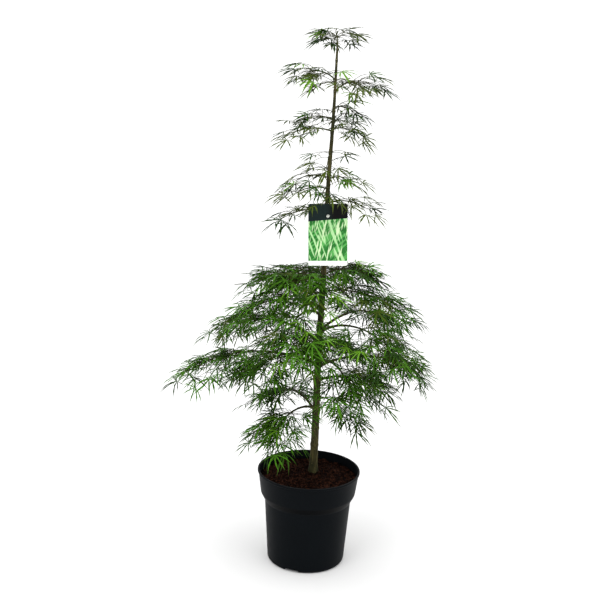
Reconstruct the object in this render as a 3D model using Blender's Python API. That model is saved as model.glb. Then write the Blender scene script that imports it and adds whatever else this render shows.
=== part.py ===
"""Potted Japanese maple of the laced-leaf kind, trained as a slender pyramid over a wide weeping skirt.

Run with: blender --background --python part.py
Units are metres and +Z is up. The origin is the middle of the pot's flat underside.
The plant is one trunk, boughs that arch and weep, and masses of deeply cut leaves that each keep
clear of every other mass. It stands in a round nursery pot filled with compost, and a blank plant
label hangs on the trunk by a looped tie.
"""

import math
import random
from collections import namedtuple

import bmesh
import bpy
from mathutils import Matrix, Vector
from mathutils.bvhtree import BVHTree

# ------------------------------------------------------------------ driving dimensions
CLEARANCE = 0.0003  # between two pieces that rest on each other
SHARP_ANGLE = math.radians(35)

# Pot
POT_HEIGHT = 0.198
RIM_RADIUS = 0.105
COLLAR_TOP_RADIUS = 0.1032
COLLAR_FOOT_RADIUS = 0.0975
COLLAR_FOOT_HEIGHT = 0.150
BODY_TOP_RADIUS = 0.0885
BODY_TOP_HEIGHT = 0.133
BODY_FOOT_RADIUS = 0.0795
HEEL_RADIUS = 0.008
HEEL_STEPS = 3
LIP_HEIGHT = 0.005
LIP_ROUND = 0.0012
WALL = 0.0018
FLOOR_THICKNESS = 0.004
POT_SIDES = 28
NOTCH_COUNT = 3
NOTCH_TOP_WIDTH = 0.032
NOTCH_FOOT_WIDTH = 0.038
NOTCH_HEIGHT = 0.006
NOTCH_DEPTH = 0.016
NOTCH_OVERRUN = 0.004
NOTCH_AZIMUTH = -112.0

# Compost
COMPOST_TOP = 0.186
COMPOST_EDGE_DROP = 0.003
COMPOST_FLAT_RADIUS = 0.075
COMPOST_HEEL_HEIGHT = 0.010
COMPOST_HEEL_INSET = 0.006

# Trunk
TRUNK_FOOT = (0.0085, 0.020)
TRUNK_TOP = (0.0215, 0.017, 1.052)
TRUNK_FOOT_RADIUS = 0.0082
TRUNK_TOP_RADIUS = 0.0021
TRUNK_TAPER_POWER = 1.15
FLARE_RADIUS = 0.0032
FLARE_FADE = 0.014
FLARE_ROOTS = 5
FLARE_RIB = 0.3
TRUNK_BOW = 0.0022
TRUNK_WAVE = 0.0008
TRUNK_WAVES = 2.6
TRUNK_WANDER_BACK = 0.6
TRUNK_RINGS = 20
TRUNK_RING_POWER = 1.5
TRUNK_SIDES = 10

# Boughs and twigs
BOUGH_SIDES = 5
BOUGH_STEPS = 4
BOUGH_TIP_RADIUS = 0.0021
BOUGH_TAPER = 0.011
LIMB_SWAY = 16.0
STEM_STEPS = 6
STEM_TIP_RADIUS = 0.0013
SMALL_STEM_RADIUS = 0.0016
SETTLE_STEPS = 4
TWIG_SIDES = 3
SHOOT_STEPS = 2
SHOOT_RADIUS = 0.0010
SHOOT_TIP_RADIUS = 0.0009
SHOOT_SPREAD = 52.0
SHOOT_SWAY = 14.0
SHOOT_LIFT = 6.0
LIFT_STRAY = 16.0
SHOOT_DROOP = 30.0
SHORT_SHOOT = 0.036
LONG_SHOOT = 0.047
FULLEST_SHARE = 0.4
FULLNESS = 1.1
FULLNESS_FADE = 0.45
SPREAD_RANGE = (0.82, 1.15)
SHOOT_RANGE = (0.85, 1.15)
NODE_STEP = 0.3
ROOT_SINK = 0.0020

# Leaves: each lobe's angle from the middle one and its share of the leaf's length
LEAF_LOBES = ((-98, 0.58), (-46, 0.90), (0, 1.0), (46, 0.90), (98, 0.58))
LEAF_LENGTH = 0.054
TOP_LEAF_LENGTH = 0.041
LEAF_THICKNESS = 0.0010
LEAF_CUP = 0.26
LOBE_WAIST = 0.26
WAIST_CUP = 0.03
BLADE_BACK = 0.14
BLADE_HALF_BACK = 0.0008
STALK_LENGTH = 0.026
TOP_STALK_LENGTH = 0.034
STALK_TAPER = 0.5
STALK_SPREAD = 58.0
STALK_RANGE = (0.8, 1.25)
LEAF_RANGE = (0.84, 1.08)
AZIMUTH_STRAY = 18.0
PITCH_STRAY = 20.0
ROLL_STRAY = 30.0
BLADE_LEVEL = 0.5
LEAF_DROP = 9.0
TOP_LEAF_DROP = 7.0
LEAF_REACH = 0.066
SKIRT_TOP = 0.58
CROWN_TOP = 0.92

# Room kept round each leaf, and how a leaf that has no room is swung before it is left out
GUARD = 0.0007
STALK_GUARD_FROM = 0.3
TRIES = 2
SWING_AZIMUTH = 24.0
SWING_PITCH = 22.0
SWING_ROLL = 15.0
SWUNG_LENGTH = 0.94

# Label and its tie
LABEL_WIDTH = 0.077
LABEL_HEIGHT = 0.124
LABEL_THICKNESS = 0.0007
LABEL_TOP = 0.753
LABEL_CORNER = 0.004
LABEL_CORNER_STEPS = 3
LABEL_STANDOFF = 0.012
LABEL_TILT = -2.2
LABEL_ASIDE = 0.0030
HOLE_DROP = 0.024
HOLE_RADIUS = 0.0028
HOLE_SIDES = 16
TIE_RADIUS = 0.0006
TIE_SIDES = 5
TIE_STEPS = 11
TIE_OPENING = 140.0
TIE_HALF_GAP = 0.0010
TIE_FRONT = 0.0031
TIE_BACK = 0.0020
TIE_BEAD_RADIUS = 0.0036

# A limb's name, height of its fork on the trunk, azimuth, reach of its furthest leaf tips from the
# trunk, degrees above level at the fork, degrees below level at the tip, and the sideways width of
# the foliage on it. Azimuth 0 is +X and 90 is +Y.
Limb = namedtuple("Limb", "name height azimuth reach rise droop width")

# Main boughs, each with a mass that carries it on.
BOUGHS = (
    Limb("low_front_left", 0.322, 230, 0.166, 34, 58, 0.048),
    Limb("low_right", 0.384, 346, 0.194, 28, 24, 0.034),
    Limb("low_back", 0.314, 124, 0.205, 34, 46, 0.054),
    Limb("fork_left", 0.418, 178, 0.318, 24, 36, 0.072),
    Limb("fork_right", 0.414, 8, 0.256, 28, 36, 0.070),
    Limb("fork_front", 0.424, 292, 0.215, 32, 48, 0.062),
    Limb("fork_back", 0.402, 76, 0.260, 32, 48, 0.074),
    Limb("fork_left_back", 0.466, 154, 0.270, 32, 40, 0.068),
    Limb("fork_left_front", 0.432, 214, 0.215, 30, 38, 0.060),
    Limb("high_right_front", 0.486, 318, 0.232, 40, 46, 0.066),
    Limb("high_right_back", 0.490, 40, 0.245, 32, 42, 0.064),
    Limb("high_left_front", 0.522, 242, 0.222, 36, 52, 0.064),
)

# Masses whose stem grows straight from the trunk.
TRUNK_SPRAYS = (
    Limb("skirt_left", 0.540, 190, 0.224, 28, 44, 0.056),
    Limb("skirt_right", 0.572, 354, 0.210, 14, 44, 0.052),
    Limb("skirt_back", 0.568, 96, 0.205, 40, 46, 0.056),
    Limb("skirt_front", 0.478, 262, 0.190, 34, 50, 0.052),
    Limb("shoulder_left", 0.590, 168, 0.188, 30, 46, 0.046),
    Limb("shoulder_left_front", 0.590, 216, 0.160, 34, 42, 0.044),
    Limb("shoulder_right", 0.608, 20, 0.150, 24, 38, 0.042),
    Limb("shoulder_front", 0.580, 254, 0.135, 36, 54, 0.042),
    Limb("low_front_right", 0.350, 322, 0.134, 12, 50, 0.020),
    Limb("tier1_left", 0.742, 188, 0.138, 0, 22, 0.026),
    Limb("tier1_left_front", 0.780, 206, 0.124, 20, 28, 0.026),
    Limb("tier1_right", 0.752, 346, 0.134, 24, 30, 0.018),
    Limb("tier1_back", 0.735, 84, 0.110, 34, 38, 0.022),
    Limb("tier2_left", 0.802, 172, 0.118, 18, 36, 0.032),
    Limb("tier2_front", 0.778, 262, 0.080, 46, 54, 0.014),
    Limb("tier2_right", 0.800, 12, 0.096, 24, 14, 0.012),
    Limb("tier2_back", 0.812, 106, 0.100, 30, 36, 0.018),
    Limb("tier3_left", 0.893, 194, 0.138, 18, 18, 0.028),
    Limb("tier3_right", 0.896, 350, 0.090, 30, 24, 0.022),
    Limb("tier3_front", 0.850, 268, 0.076, 30, 50, 0.012),
    Limb("tier4_left", 0.914, 158, 0.100, 26, 30, 0.018),
    Limb("tier4_right", 0.938, 24, 0.080, 26, 32, 0.016),
    Limb("tier4_back", 0.905, 78, 0.098, 34, 38, 0.022),
    Limb("tier5_left", 0.990, 182, 0.116, 48, 12, 0.038),
    Limb("tier5_right", 0.968, 352, 0.118, 58, 24, 0.040),
    Limb("tier5_back", 0.978, 98, 0.092, 40, 30, 0.018),
)
LEADER = Limb("leader", TRUNK_TOP[2], 96, 0.055, 70, 42, 0.030)
STEM_OWNER = ":stem"
BOUGH_SEED = 1700
SPRAY_SEED = 4100
LEADER_SEED = 4099

# Colours and finishes: red, green, blue, roughness.
FINISHES = {
    "black_pot_plastic": (0.012, 0.013, 0.015, 0.45),
    "compost": (0.025, 0.012, 0.008, 0.95),
    "maple_bark": (0.120, 0.110, 0.045, 0.75),
    "maple_foliage": (0.070, 0.190, 0.030, 0.55),
    "label_card": (0.200, 0.450, 0.180, 0.35),
    "label_tie": (0.700, 0.700, 0.680, 0.50),
}


# ------------------------------------------------------------------ tools
def clear_scene():
    for obj in list(bpy.data.objects):
        bpy.data.objects.remove(obj, do_unlink=True)


def finish_material(name):
    """The Principled material of that finish, made once."""
    found = bpy.data.materials.get(name)
    if found:
        return found
    red, green, blue, roughness = FINISHES[name]
    material = bpy.data.materials.new(name)
    material.use_nodes = True
    shader = material.node_tree.nodes["Principled BSDF"]
    shader.inputs["Base Color"].default_value = (red, green, blue, 1.0)
    shader.inputs["Roughness"].default_value = roughness
    shader.inputs["Metallic"].default_value = 0.0
    return material


def object_from(name, points, faces, material, collection=None, smooth=False):
    """A closed mesh object whose faces are turned outwards."""
    mesh = bpy.data.meshes.new(name)
    mesh.from_pydata([tuple(p) for p in points], [], faces)
    work = bmesh.new()
    work.from_mesh(mesh)
    bmesh.ops.recalc_face_normals(work, faces=work.faces)
    if work.calc_volume(signed=True) < 0:
        bmesh.ops.reverse_faces(work, faces=work.faces)
    work.to_mesh(mesh)
    work.free()
    mesh.materials.append(finish_material(material))
    if smooth:
        mesh.shade_smooth()
        mesh.set_sharp_from_angle(angle=SHARP_ANGLE)
    obj = bpy.data.objects.new(name, mesh)
    (collection or bpy.context.scene.collection).objects.link(obj)
    return obj


def as_helper(obj):
    """Marks a cutter, which isn't part of the plant."""
    obj.hide_render = True
    obj.display_type = "WIRE"
    return obj


def apply_modifier(obj, name):
    with bpy.context.temp_override(object=obj, active_object=obj):
        bpy.ops.object.modifier_apply(modifier=name)


def cut(obj, cutters):
    """Takes each cutter out of the object, one exact Boolean after another, and removes the cutters."""
    for cutter in cutters:
        as_helper(cutter)
        modifier = obj.modifiers.new("cut", "BOOLEAN")
        modifier.operation = "DIFFERENCE"
        modifier.object = cutter
        apply_modifier(obj, modifier.name)
        bpy.data.objects.remove(cutter, do_unlink=True)


def turned_shape(name, profile, sides, material):
    """A solid of revolution. The profile runs from the axis round to the axis again."""
    work = bmesh.new()
    line = [work.verts.new((radius, 0.0, height)) for radius, height in profile]
    edges = [work.edges.new(pair) for pair in zip(line, line[1:])]
    bmesh.ops.spin(
        work, geom=line + edges, axis=(0, 0, 1), cent=(0, 0, 0),
        steps=sides, angle=math.tau, use_merge=True,
    )
    bmesh.ops.remove_doubles(work, verts=work.verts, dist=CLEARANCE / 10)
    points = [v.co.copy() for v in work.verts]
    work.verts.index_update()
    faces = [tuple(v.index for v in face.verts) for face in work.faces]
    work.free()
    return object_from(name, points, faces, material, smooth=True)


def heading(azimuth, pitch):
    """Unit vector at an azimuth and at a pitch above level, both in degrees."""
    turn, lift = math.radians(azimuth), math.radians(pitch)
    return Vector((math.cos(turn) * math.cos(lift), math.sin(turn) * math.cos(lift), math.sin(lift)))


def ring_faces(count, sides):
    """The faces of a stack of rings: quads between each ring and the next, and a flat face at both ends."""
    faces = []
    for low in range(0, (count - 1) * sides, sides):
        for k in range(sides):
            a, b = low + k, low + (k + 1) % sides
            faces.append((a, b, b + sides, a + sides))
    faces.append(tuple(reversed(range(sides))))
    faces.append(tuple(range((count - 1) * sides, count * sides)))
    return faces


def tube(points, radii, sides, grow=0.0):
    """Points and faces of a limb: a ring of equal sides round each point of its line."""
    rings = []
    side = None
    for i, point in enumerate(points):
        ahead = points[min(i + 1, len(points) - 1)] - points[max(i - 1, 0)]
        ahead.normalize()
        side = side or ahead.orthogonal().normalized()
        side = (side - ahead * side.dot(ahead)).normalized()
        other = ahead.cross(side)
        for k in range(sides):
            turn = math.tau * k / sides
            rings.append(point + (side * math.cos(turn) + other * math.sin(turn)) * (radii[i] + grow))
    return rings, ring_faces(len(points), sides)


def tapered(first, last, count):
    return [first + (last - first) * i / (count - 1) for i in range(count)]


# ------------------------------------------------------------------ pot and compost
def pot_profile(inset=0.0):
    """Radii and heights up the pot's outer side from the flat foot to the lip, moved in by a wall."""
    heel = []
    for step in range(HEEL_STEPS + 1):
        turn = math.radians(90 * step / HEEL_STEPS)
        radius = BODY_FOOT_RADIUS - HEEL_RADIUS + HEEL_RADIUS * math.sin(turn)
        heel.append((radius - inset, HEEL_RADIUS - HEEL_RADIUS * math.cos(turn)))
    return heel + [
        (BODY_TOP_RADIUS - inset, BODY_TOP_HEIGHT),
        (COLLAR_FOOT_RADIUS - inset, COLLAR_FOOT_HEIGHT),
        (COLLAR_TOP_RADIUS - inset, POT_HEIGHT - LIP_HEIGHT),
    ]


def inner_radius(height):
    """Radius of the pot's inner wall at a height above its heel."""
    rungs = pot_profile(WALL)[HEEL_STEPS:]
    for (low_r, low_z), (high_r, high_z) in zip(rungs, rungs[1:]):
        if height <= high_z:
            return low_r + (high_r - low_r) * (height - low_z) / (high_z - low_z)
    return rungs[-1][0]


def make_pot():
    """A turned shell with a thin floor, a stepped collar and a rolled lip, notched round its foot."""
    lip = [
        (RIM_RADIUS, POT_HEIGHT - LIP_HEIGHT + LIP_ROUND / 2),
        (RIM_RADIUS, POT_HEIGHT - LIP_ROUND),
        (RIM_RADIUS - LIP_ROUND, POT_HEIGHT),
        (COLLAR_TOP_RADIUS - WALL, POT_HEIGHT - LIP_ROUND / 2),
    ]
    inner = list(reversed(pot_profile(WALL)[HEEL_STEPS:]))
    floor = [(inner[-1][0] - HEEL_RADIUS + FLOOR_THICKNESS, FLOOR_THICKNESS), (0.0, FLOOR_THICKNESS)]
    profile = [(0.0, 0.0)] + pot_profile() + lip + inner + floor
    pot = turned_shape("pot", profile, POT_SIDES, "black_pot_plastic")
    cut(pot, [notch_cutter(NOTCH_AZIMUTH + 360 * i / NOTCH_COUNT) for i in range(NOTCH_COUNT)])
    return pot


def notch_cutter(azimuth):
    """A drainage notch in the foot: a trapezium, wider at the ground, that runs out through the heel."""
    flare = (NOTCH_FOOT_WIDTH - NOTCH_TOP_WIDTH) / 2 / NOTCH_HEIGHT
    top_half = NOTCH_TOP_WIDTH / 2
    low_half = top_half + flare * (NOTCH_HEIGHT + NOTCH_OVERRUN)
    outline = (
        (-low_half, -NOTCH_OVERRUN),
        (low_half, -NOTCH_OVERRUN),
        (top_half, NOTCH_HEIGHT),
        (-top_half, NOTCH_HEIGHT),
    )
    turn = Matrix.Rotation(math.radians(azimuth), 4, "Z")
    ends = (BODY_FOOT_RADIUS - NOTCH_DEPTH, BODY_FOOT_RADIUS + NOTCH_OVERRUN)
    points = [turn @ Vector((x, y, z)) for x in ends for y, z in outline]
    return object_from("notch_cutter", points, ring_faces(len(ends), len(outline)), "black_pot_plastic")


def make_compost():
    """The root ball that fills the pot: its side follows the inner wall, and its top is nearly level."""
    foot = FLOOR_THICKNESS + CLEARANCE
    edge = COMPOST_TOP - COMPOST_EDGE_DROP
    heights = (COMPOST_HEEL_HEIGHT, BODY_TOP_HEIGHT, COLLAR_FOOT_HEIGHT, edge)
    side = [(inner_radius(height) - CLEARANCE, height) for height in heights]
    profile = [
        (0.0, foot),
        (side[0][0] - COMPOST_HEEL_INSET, foot),
        *side,
        (COMPOST_FLAT_RADIUS, COMPOST_TOP),
        (0.0, COMPOST_TOP),
    ]
    return turned_shape("compost", profile, POT_SIDES, "compost")


# ------------------------------------------------------------------ trunk and boughs
def trunk_share(height):
    """How far up the trunk a height is, from 0 at the compost to 1 at the tip."""
    share = (height - COMPOST_TOP) / (TRUNK_TOP[2] - COMPOST_TOP)
    return min(1.0, max(0.0, share))


def trunk_centre(height):
    """The trunk leans from foot to tip, bowed a little to the left of that line and slightly wavy."""
    share = trunk_share(height)
    wander = TRUNK_WAVE * math.sin(share * TRUNK_WAVES * math.tau) - TRUNK_BOW * math.sin(share * math.pi)
    across = TRUNK_FOOT[0] + (TRUNK_TOP[0] - TRUNK_FOOT[0]) * share
    back = TRUNK_FOOT[1] + (TRUNK_TOP[1] - TRUNK_FOOT[1]) * share
    return Vector((across + wander, back + wander * TRUNK_WANDER_BACK, height))


def trunk_radius(height):
    share = trunk_share(height)
    return TRUNK_TOP_RADIUS + (TRUNK_FOOT_RADIUS - TRUNK_TOP_RADIUS) * (1 - share ** TRUNK_TAPER_POWER)


def trunk_mesh(grow=0.0):
    """Rings up the trunk, closest in the root flare, whose ribs fade within a few centimetres."""
    foot = COMPOST_TOP + CLEARANCE
    rings = []
    for i in range(TRUNK_RINGS):
        height = foot + (TRUNK_TOP[2] - foot) * (i / (TRUNK_RINGS - 1)) ** TRUNK_RING_POWER
        centre, radius = trunk_centre(height), trunk_radius(height)
        flare = FLARE_RADIUS * math.exp(-(height - foot) / FLARE_FADE)
        for k in range(TRUNK_SIDES):
            turn = 360 * k / TRUNK_SIDES
            rib = 1 - FLARE_RIB + FLARE_RIB * math.cos(math.radians(turn) * FLARE_ROOTS)
            rings.append(centre + heading(turn, 0) * (radius + grow + flare * rib))
    return rings, ring_faces(TRUNK_RINGS, TRUNK_SIDES)


def arching_path(start, azimuth, length, rise, droop, sway, steps):
    """A limb that sets out at rise degrees above level and bends evenly to droop degrees below it."""
    points = [Vector(start)]
    for i in range(steps):
        share = (i + 0.5) / steps
        ahead = heading(azimuth + sway * share, rise - (rise + droop) * share)
        points.append(points[-1] + ahead * (length / steps))
    return points


def arc_length(reach, rise, droop):
    """The length of an evenly bending limb that reaches that far out."""
    up, down = math.radians(rise), math.radians(droop)
    return reach * (up + down) / (math.sin(up) + math.sin(down))


def limb_line(limb, seed, steps):
    """The line of a limb and the foliage that carries it on, from the middle of the trunk."""
    sway = random.Random(seed).uniform(-LIMB_SWAY, LIMB_SWAY)
    stem_reach = limb.reach - LEAF_REACH * math.cos(math.radians(limb.droop))
    length = arc_length(stem_reach, limb.rise, limb.droop)
    return arching_path(trunk_centre(limb.height), limb.azimuth, length, limb.rise, limb.droop, sway, steps)


def make_bough(name, line):
    """One tapering limb, hollowed at its foot to sit round the trunk."""
    foot_radius = BOUGH_TIP_RADIUS + BOUGH_TAPER * (line[-1] - line[0]).length
    radii = tapered(foot_radius, BOUGH_TIP_RADIUS, len(line))
    bough = object_from(name, *tube(line, radii, BOUGH_SIDES), "maple_bark", smooth=True)
    cut(bough, [object_from("saddle_cutter", *trunk_mesh(CLEARANCE), "maple_bark")])
    keep_outer_shell(bough, line[-1])
    return bough


def keep_outer_shell(obj, place):
    """Keeps only the shell nearest a place: scraps of a cut go, and hollows sealed by a union are filled."""
    work = bmesh.new()
    work.from_mesh(obj.data)
    nearest = min(work.verts, key=lambda v: (v.co - place).length)
    kept, front = {nearest}, [nearest]
    while front:
        vert = front.pop()
        for edge in vert.link_edges:
            other = edge.other_vert(vert)
            if other not in kept:
                kept.add(other)
                front.append(other)
    bmesh.ops.delete(work, geom=[v for v in work.verts if v not in kept], context="VERTS")
    work.to_mesh(obj.data)
    work.free()


# ------------------------------------------------------------------ growth rule of a mass
class Leaf:
    """One leaf on its stalk: where the stalk is rooted, where the blade starts, and how the blade lies."""

    def __init__(self, root, azimuth, pitch, stalk, length, roll):
        self.root = root
        self.hub = root + heading(azimuth, pitch) * stalk
        self.azimuth = azimuth
        self.pitch = pitch
        self.stalk = stalk
        self.length = length
        self.roll = roll

    def axes(self):
        """The blade's forward, sideways and upward directions."""
        drop = by_height(self.root.z, LEAF_DROP, TOP_LEAF_DROP)
        ahead = heading(self.azimuth, self.pitch * BLADE_LEVEL - drop)
        side = Vector((-math.sin(math.radians(self.azimuth)), math.cos(math.radians(self.azimuth)), 0))
        side = Matrix.Rotation(math.radians(self.roll), 3, ahead) @ side
        return ahead, side, ahead.cross(side)


def by_height(height, low, high):
    """A value that changes evenly from the top of the skirt to the top of the crown."""
    share = (height - SKIRT_TOP) / (CROWN_TOP - SKIRT_TOP)
    return low + (high - low) * min(1.0, max(0.0, share))


def leaf_at(rng, root, azimuth, pitch):
    """A leaf with its own stalk length, size, azimuth, pitch and roll."""
    stalk = by_height(root.z, STALK_LENGTH, TOP_STALK_LENGTH) * rng.uniform(*STALK_RANGE)
    length = by_height(root.z, LEAF_LENGTH, TOP_LEAF_LENGTH) * rng.uniform(*LEAF_RANGE)
    azimuth += rng.uniform(-AZIMUTH_STRAY, AZIMUTH_STRAY)
    pitch += rng.uniform(-PITCH_STRAY, PITCH_STRAY)
    return Leaf(root, azimuth, pitch, stalk, length, rng.uniform(-ROLL_STRAY, ROLL_STRAY))


def bearing(start, end):
    """The azimuth and the pitch, in degrees, of the line from one point to another."""
    step = end - start
    level = math.hypot(step.x, step.y)
    return math.degrees(math.atan2(step.y, step.x)), math.degrees(math.atan2(step.z, level))


def grow_mass(rng, stem, width):
    """The shoots and leaves on one stem, as a list of (shoot line or None, leaves).

    A pair of shoots leaves every second joint of the stem, one to each side. Each shoot bends down.
    It ends in a leaf, and a long one has another on its side away from the stem. One leaf stands for
    a shoot that is too short. The stem ends in a leaf, with another to each side of it.
    """
    growth = []
    for joint in range(1, len(stem) - 2, 2):
        azimuth, pitch = bearing(stem[joint - 1], stem[joint + 1])
        fullness = FULLNESS - FULLNESS_FADE * abs(joint / (len(stem) - 1) - FULLEST_SHARE)
        root = stem[joint].lerp(stem[joint + 1], NODE_STEP)
        for side in (-1, 1):
            spread = azimuth + side * SHOOT_SPREAD * rng.uniform(*SPREAD_RANGE)
            length = width * fullness * rng.uniform(*SHOOT_RANGE)
            if length < SHORT_SHOOT:
                growth.append((None, [leaf_at(rng, root, spread, pitch / 2 - SHOOT_LIFT)]))
                continue
            sway = rng.uniform(-SHOOT_SWAY, SHOOT_SWAY)
            lift = SHOOT_LIFT + rng.uniform(-LIFT_STRAY, LIFT_STRAY)
            shoot = arching_path(root, spread, length, pitch / 2 + lift, SHOOT_DROOP - pitch / 3,
                                 sway, SHOOT_STEPS)
            leaves = end_leaves(rng, shoot)
            growth.append((shoot, [leaves[0], leaves[-side]] if length > LONG_SHOOT else [leaves[0]]))
    growth.append((None, end_leaves(rng, stem)))
    return growth


def end_leaves(rng, line):
    """A leaf at the end of a shoot or stem, then the one just before it on side -1 and the one on side 1."""
    azimuth, pitch = bearing(line[-2], line[-1])
    leaves = [leaf_at(rng, line[-1] - heading(azimuth, pitch) * ROOT_SINK, azimuth, pitch)]
    root = line[-2].lerp(line[-1], NODE_STEP)
    for side in (-1, 1):
        leaves.append(leaf_at(rng, root, azimuth + side * STALK_SPREAD, pitch / 2))
    return leaves


# ------------------------------------------------------------------ leaf and twig solids
def blade_ring(leaf, grow=0.0):
    """The blade's edge from its right back corner round the lobes to its left back corner, then its hub."""
    ahead, side, above = leaf.axes()

    def at(x, y, z):
        return leaf.hub + ahead * x + side * y + above * z

    half = LEAF_THICKNESS / 2 + grow
    length = leaf.length + grow * 2
    back = leaf.hub.lerp(leaf.root, BLADE_BACK)
    half_back = side * (BLADE_HALF_BACK + grow)
    ring = [back - half_back]
    for i, (angle, share) in enumerate(LEAF_LOBES):
        if i:
            middle = math.radians((angle + LEAF_LOBES[i - 1][0]) / 2)
            waist = LOBE_WAIST * length
            ring.append(at(waist * math.cos(middle), waist * math.sin(middle), -WAIST_CUP * length))
        turn, tip = math.radians(angle), length * share
        ring.append(at(tip * math.cos(turn), tip * math.sin(turn), -LEAF_CUP * tip * share))
    ring.append(back + half_back)
    return ring + [at(0.0, 0.0, half), at(0.0, 0.0, -half)]


def blade_faces(count):
    """Two fans, above and below, between the blade's edge and its hub."""
    top, bottom = count, count + 1
    faces = []
    for i in range(count - 1):
        faces += [(i, i + 1, top), (i + 1, i, bottom)]
    return faces


def leaf_mesh(leaf):
    """A star of pointed lobes, thickest at its hub, drawn back to a three-sided stalk that tapers evenly."""
    points = blade_ring(leaf)
    top, bottom = len(points) - 2, len(points) - 1
    left, right = top - 1, 0
    foot = [leaf.root + (points[i] - leaf.hub) * STALK_TAPER for i in (left, right, top)]
    root_left, root_right, root_top = range(len(points), len(points) + 3)
    faces = blade_faces(top) + [
        (left, bottom, right),
        (left, root_left, root_top, top),
        (top, root_top, root_right, right),
        (right, root_right, root_left, left),
        (root_left, root_right, root_top),
    ]
    return points + foot, faces


def blade_guard(leaf):
    """The blade alone, a little larger, closed across its back."""
    points = blade_ring(leaf, GUARD)
    top, bottom = len(points) - 2, len(points) - 1
    return points, blade_faces(top) + [(0, top, top - 1), (0, top - 1, bottom)]


def stalk_guard(leaf):
    """The outer part of the stalk, a little larger. Its root stands in the twig that carries it."""
    start = leaf.root.lerp(leaf.hub, STALK_GUARD_FROM)
    return tube([start, leaf.hub], (BLADE_HALF_BACK, BLADE_HALF_BACK), TWIG_SIDES, GUARD)


class Space:
    """What is already placed, to keep each new twig and leaf clear of it.

    An owner is a node's name, a colon and the piece within that node.
    """

    def __init__(self):
        self.placed = []

    def add(self, owner, points, faces):
        self.placed.append((owner, *corners(points), BVHTree.FromPolygons(points, faces)))

    def is_free(self, points, faces, within):
        """Whether a shape is clear of every piece whose owner doesn't start with the name given."""
        low, high = corners(points)
        tree = BVHTree.FromPolygons(points, faces)
        for owner, other_low, other_high, other in self.placed:
            apart = any(low[i] > other_high[i] or high[i] < other_low[i] for i in range(3))
            if not apart and not owner.startswith(within) and tree.overlap(other):
                return False
        return True


def corners(points):
    """The lowest and highest coordinates of some points."""
    return [min(p[i] for p in points) for i in range(3)], [max(p[i] for p in points) for i in range(3)]


def swung(leaf, rng):
    """The same leaf turned a little on its root, and slightly smaller."""
    azimuth = leaf.azimuth + rng.uniform(-SWING_AZIMUTH, SWING_AZIMUTH)
    pitch = leaf.pitch + rng.uniform(-SWING_PITCH, SWING_PITCH)
    roll = leaf.roll + rng.uniform(-SWING_ROLL, SWING_ROLL)
    return Leaf(leaf.root, azimuth, pitch, leaf.stalk, leaf.length * SWUNG_LENGTH, roll)


def place_leaf(space, rng, leaf, name, carrier):
    """The leaf, or a swung copy of it, that is clear of all that is placed. None if there is no room."""
    for _ in range(TRIES):
        guards = blade_guard(leaf), stalk_guard(leaf)
        if all(space.is_free(*guard, within=carrier) for guard in guards):
            for guard in guards:
                space.add(name + ":leaf", *guard)
            return leaf
        leaf = swung(leaf, rng)
    return None


def make_mass(name, stem, radii, width, seed, space):
    """Grows one mass and joins it into a single solid. Returns its number of leaves."""
    rng = random.Random(seed)
    pieces = bpy.data.collections.new(name + "_pieces")
    bpy.context.scene.collection.children.link(pieces)
    count = 0
    for i, (shoot, leaves) in enumerate(grow_mass(rng, stem, width)):
        carrier = name + STEM_OWNER
        if shoot:
            carrier = f"{name}:shoot{i}:"
            radii_out = tapered(SHOOT_RADIUS, SHOOT_TIP_RADIUS, len(shoot))
            guard = tube(shoot, radii_out, TWIG_SIDES, GUARD)
            if not space.is_free(*guard, within=name):
                continue
            space.add(carrier, *guard)
            object_from(carrier, *tube(shoot, radii_out, TWIG_SIDES), "maple_foliage", pieces)
        for leaf in leaves:
            placed = place_leaf(space, rng, leaf, name, carrier)
            if placed:
                object_from(name + ":leaf", *leaf_mesh(placed), "maple_foliage", pieces)
                count += 1
    mass = object_from(name, *tube(stem, radii, TWIG_SIDES), "maple_foliage")
    join(mass, pieces)
    keep_outer_shell(mass, stem[0])
    return count


def join(obj, pieces):
    """Unites a collection's objects with this one by one Boolean, and removes them and the collection."""
    modifier = obj.modifiers.new("join", "BOOLEAN")
    modifier.operation = "UNION"
    modifier.operand_type = "COLLECTION"
    modifier.collection = pieces
    apply_modifier(obj, modifier.name)
    for piece in list(pieces.objects):
        bpy.data.objects.remove(piece, do_unlink=True)
    bpy.data.collections.remove(pieces)


# ------------------------------------------------------------------ label
def label_place():
    """Turns the label's own coordinates, X across and Z up from its hole, into the plant's frame."""
    height = LABEL_TOP - HOLE_DROP
    trunk = trunk_centre(height)
    place = Matrix.Translation((trunk.x + LABEL_ASIDE, trunk.y - LABEL_STANDOFF, height))
    return place @ Matrix.Rotation(math.radians(LABEL_TILT), 4, "Y")


def slab(outline, thickness):
    """An outline in the label's plane, made as thick as given about that plane."""
    place = label_place()
    points = [place @ Vector((x, y, z)) for y in (-thickness / 2, thickness / 2) for x, z in outline]
    return points, ring_faces(2, len(outline))


def circle(radius, steps, start, turn, centre=(0.0, 0.0)):
    """Points round an arc that starts at one angle and turns through another, in degrees."""
    angles = [math.radians(start + turn * i / steps) for i in range(steps + 1)]
    return [(centre[0] + radius * math.cos(a), centre[1] + radius * math.sin(a)) for a in angles]


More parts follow.
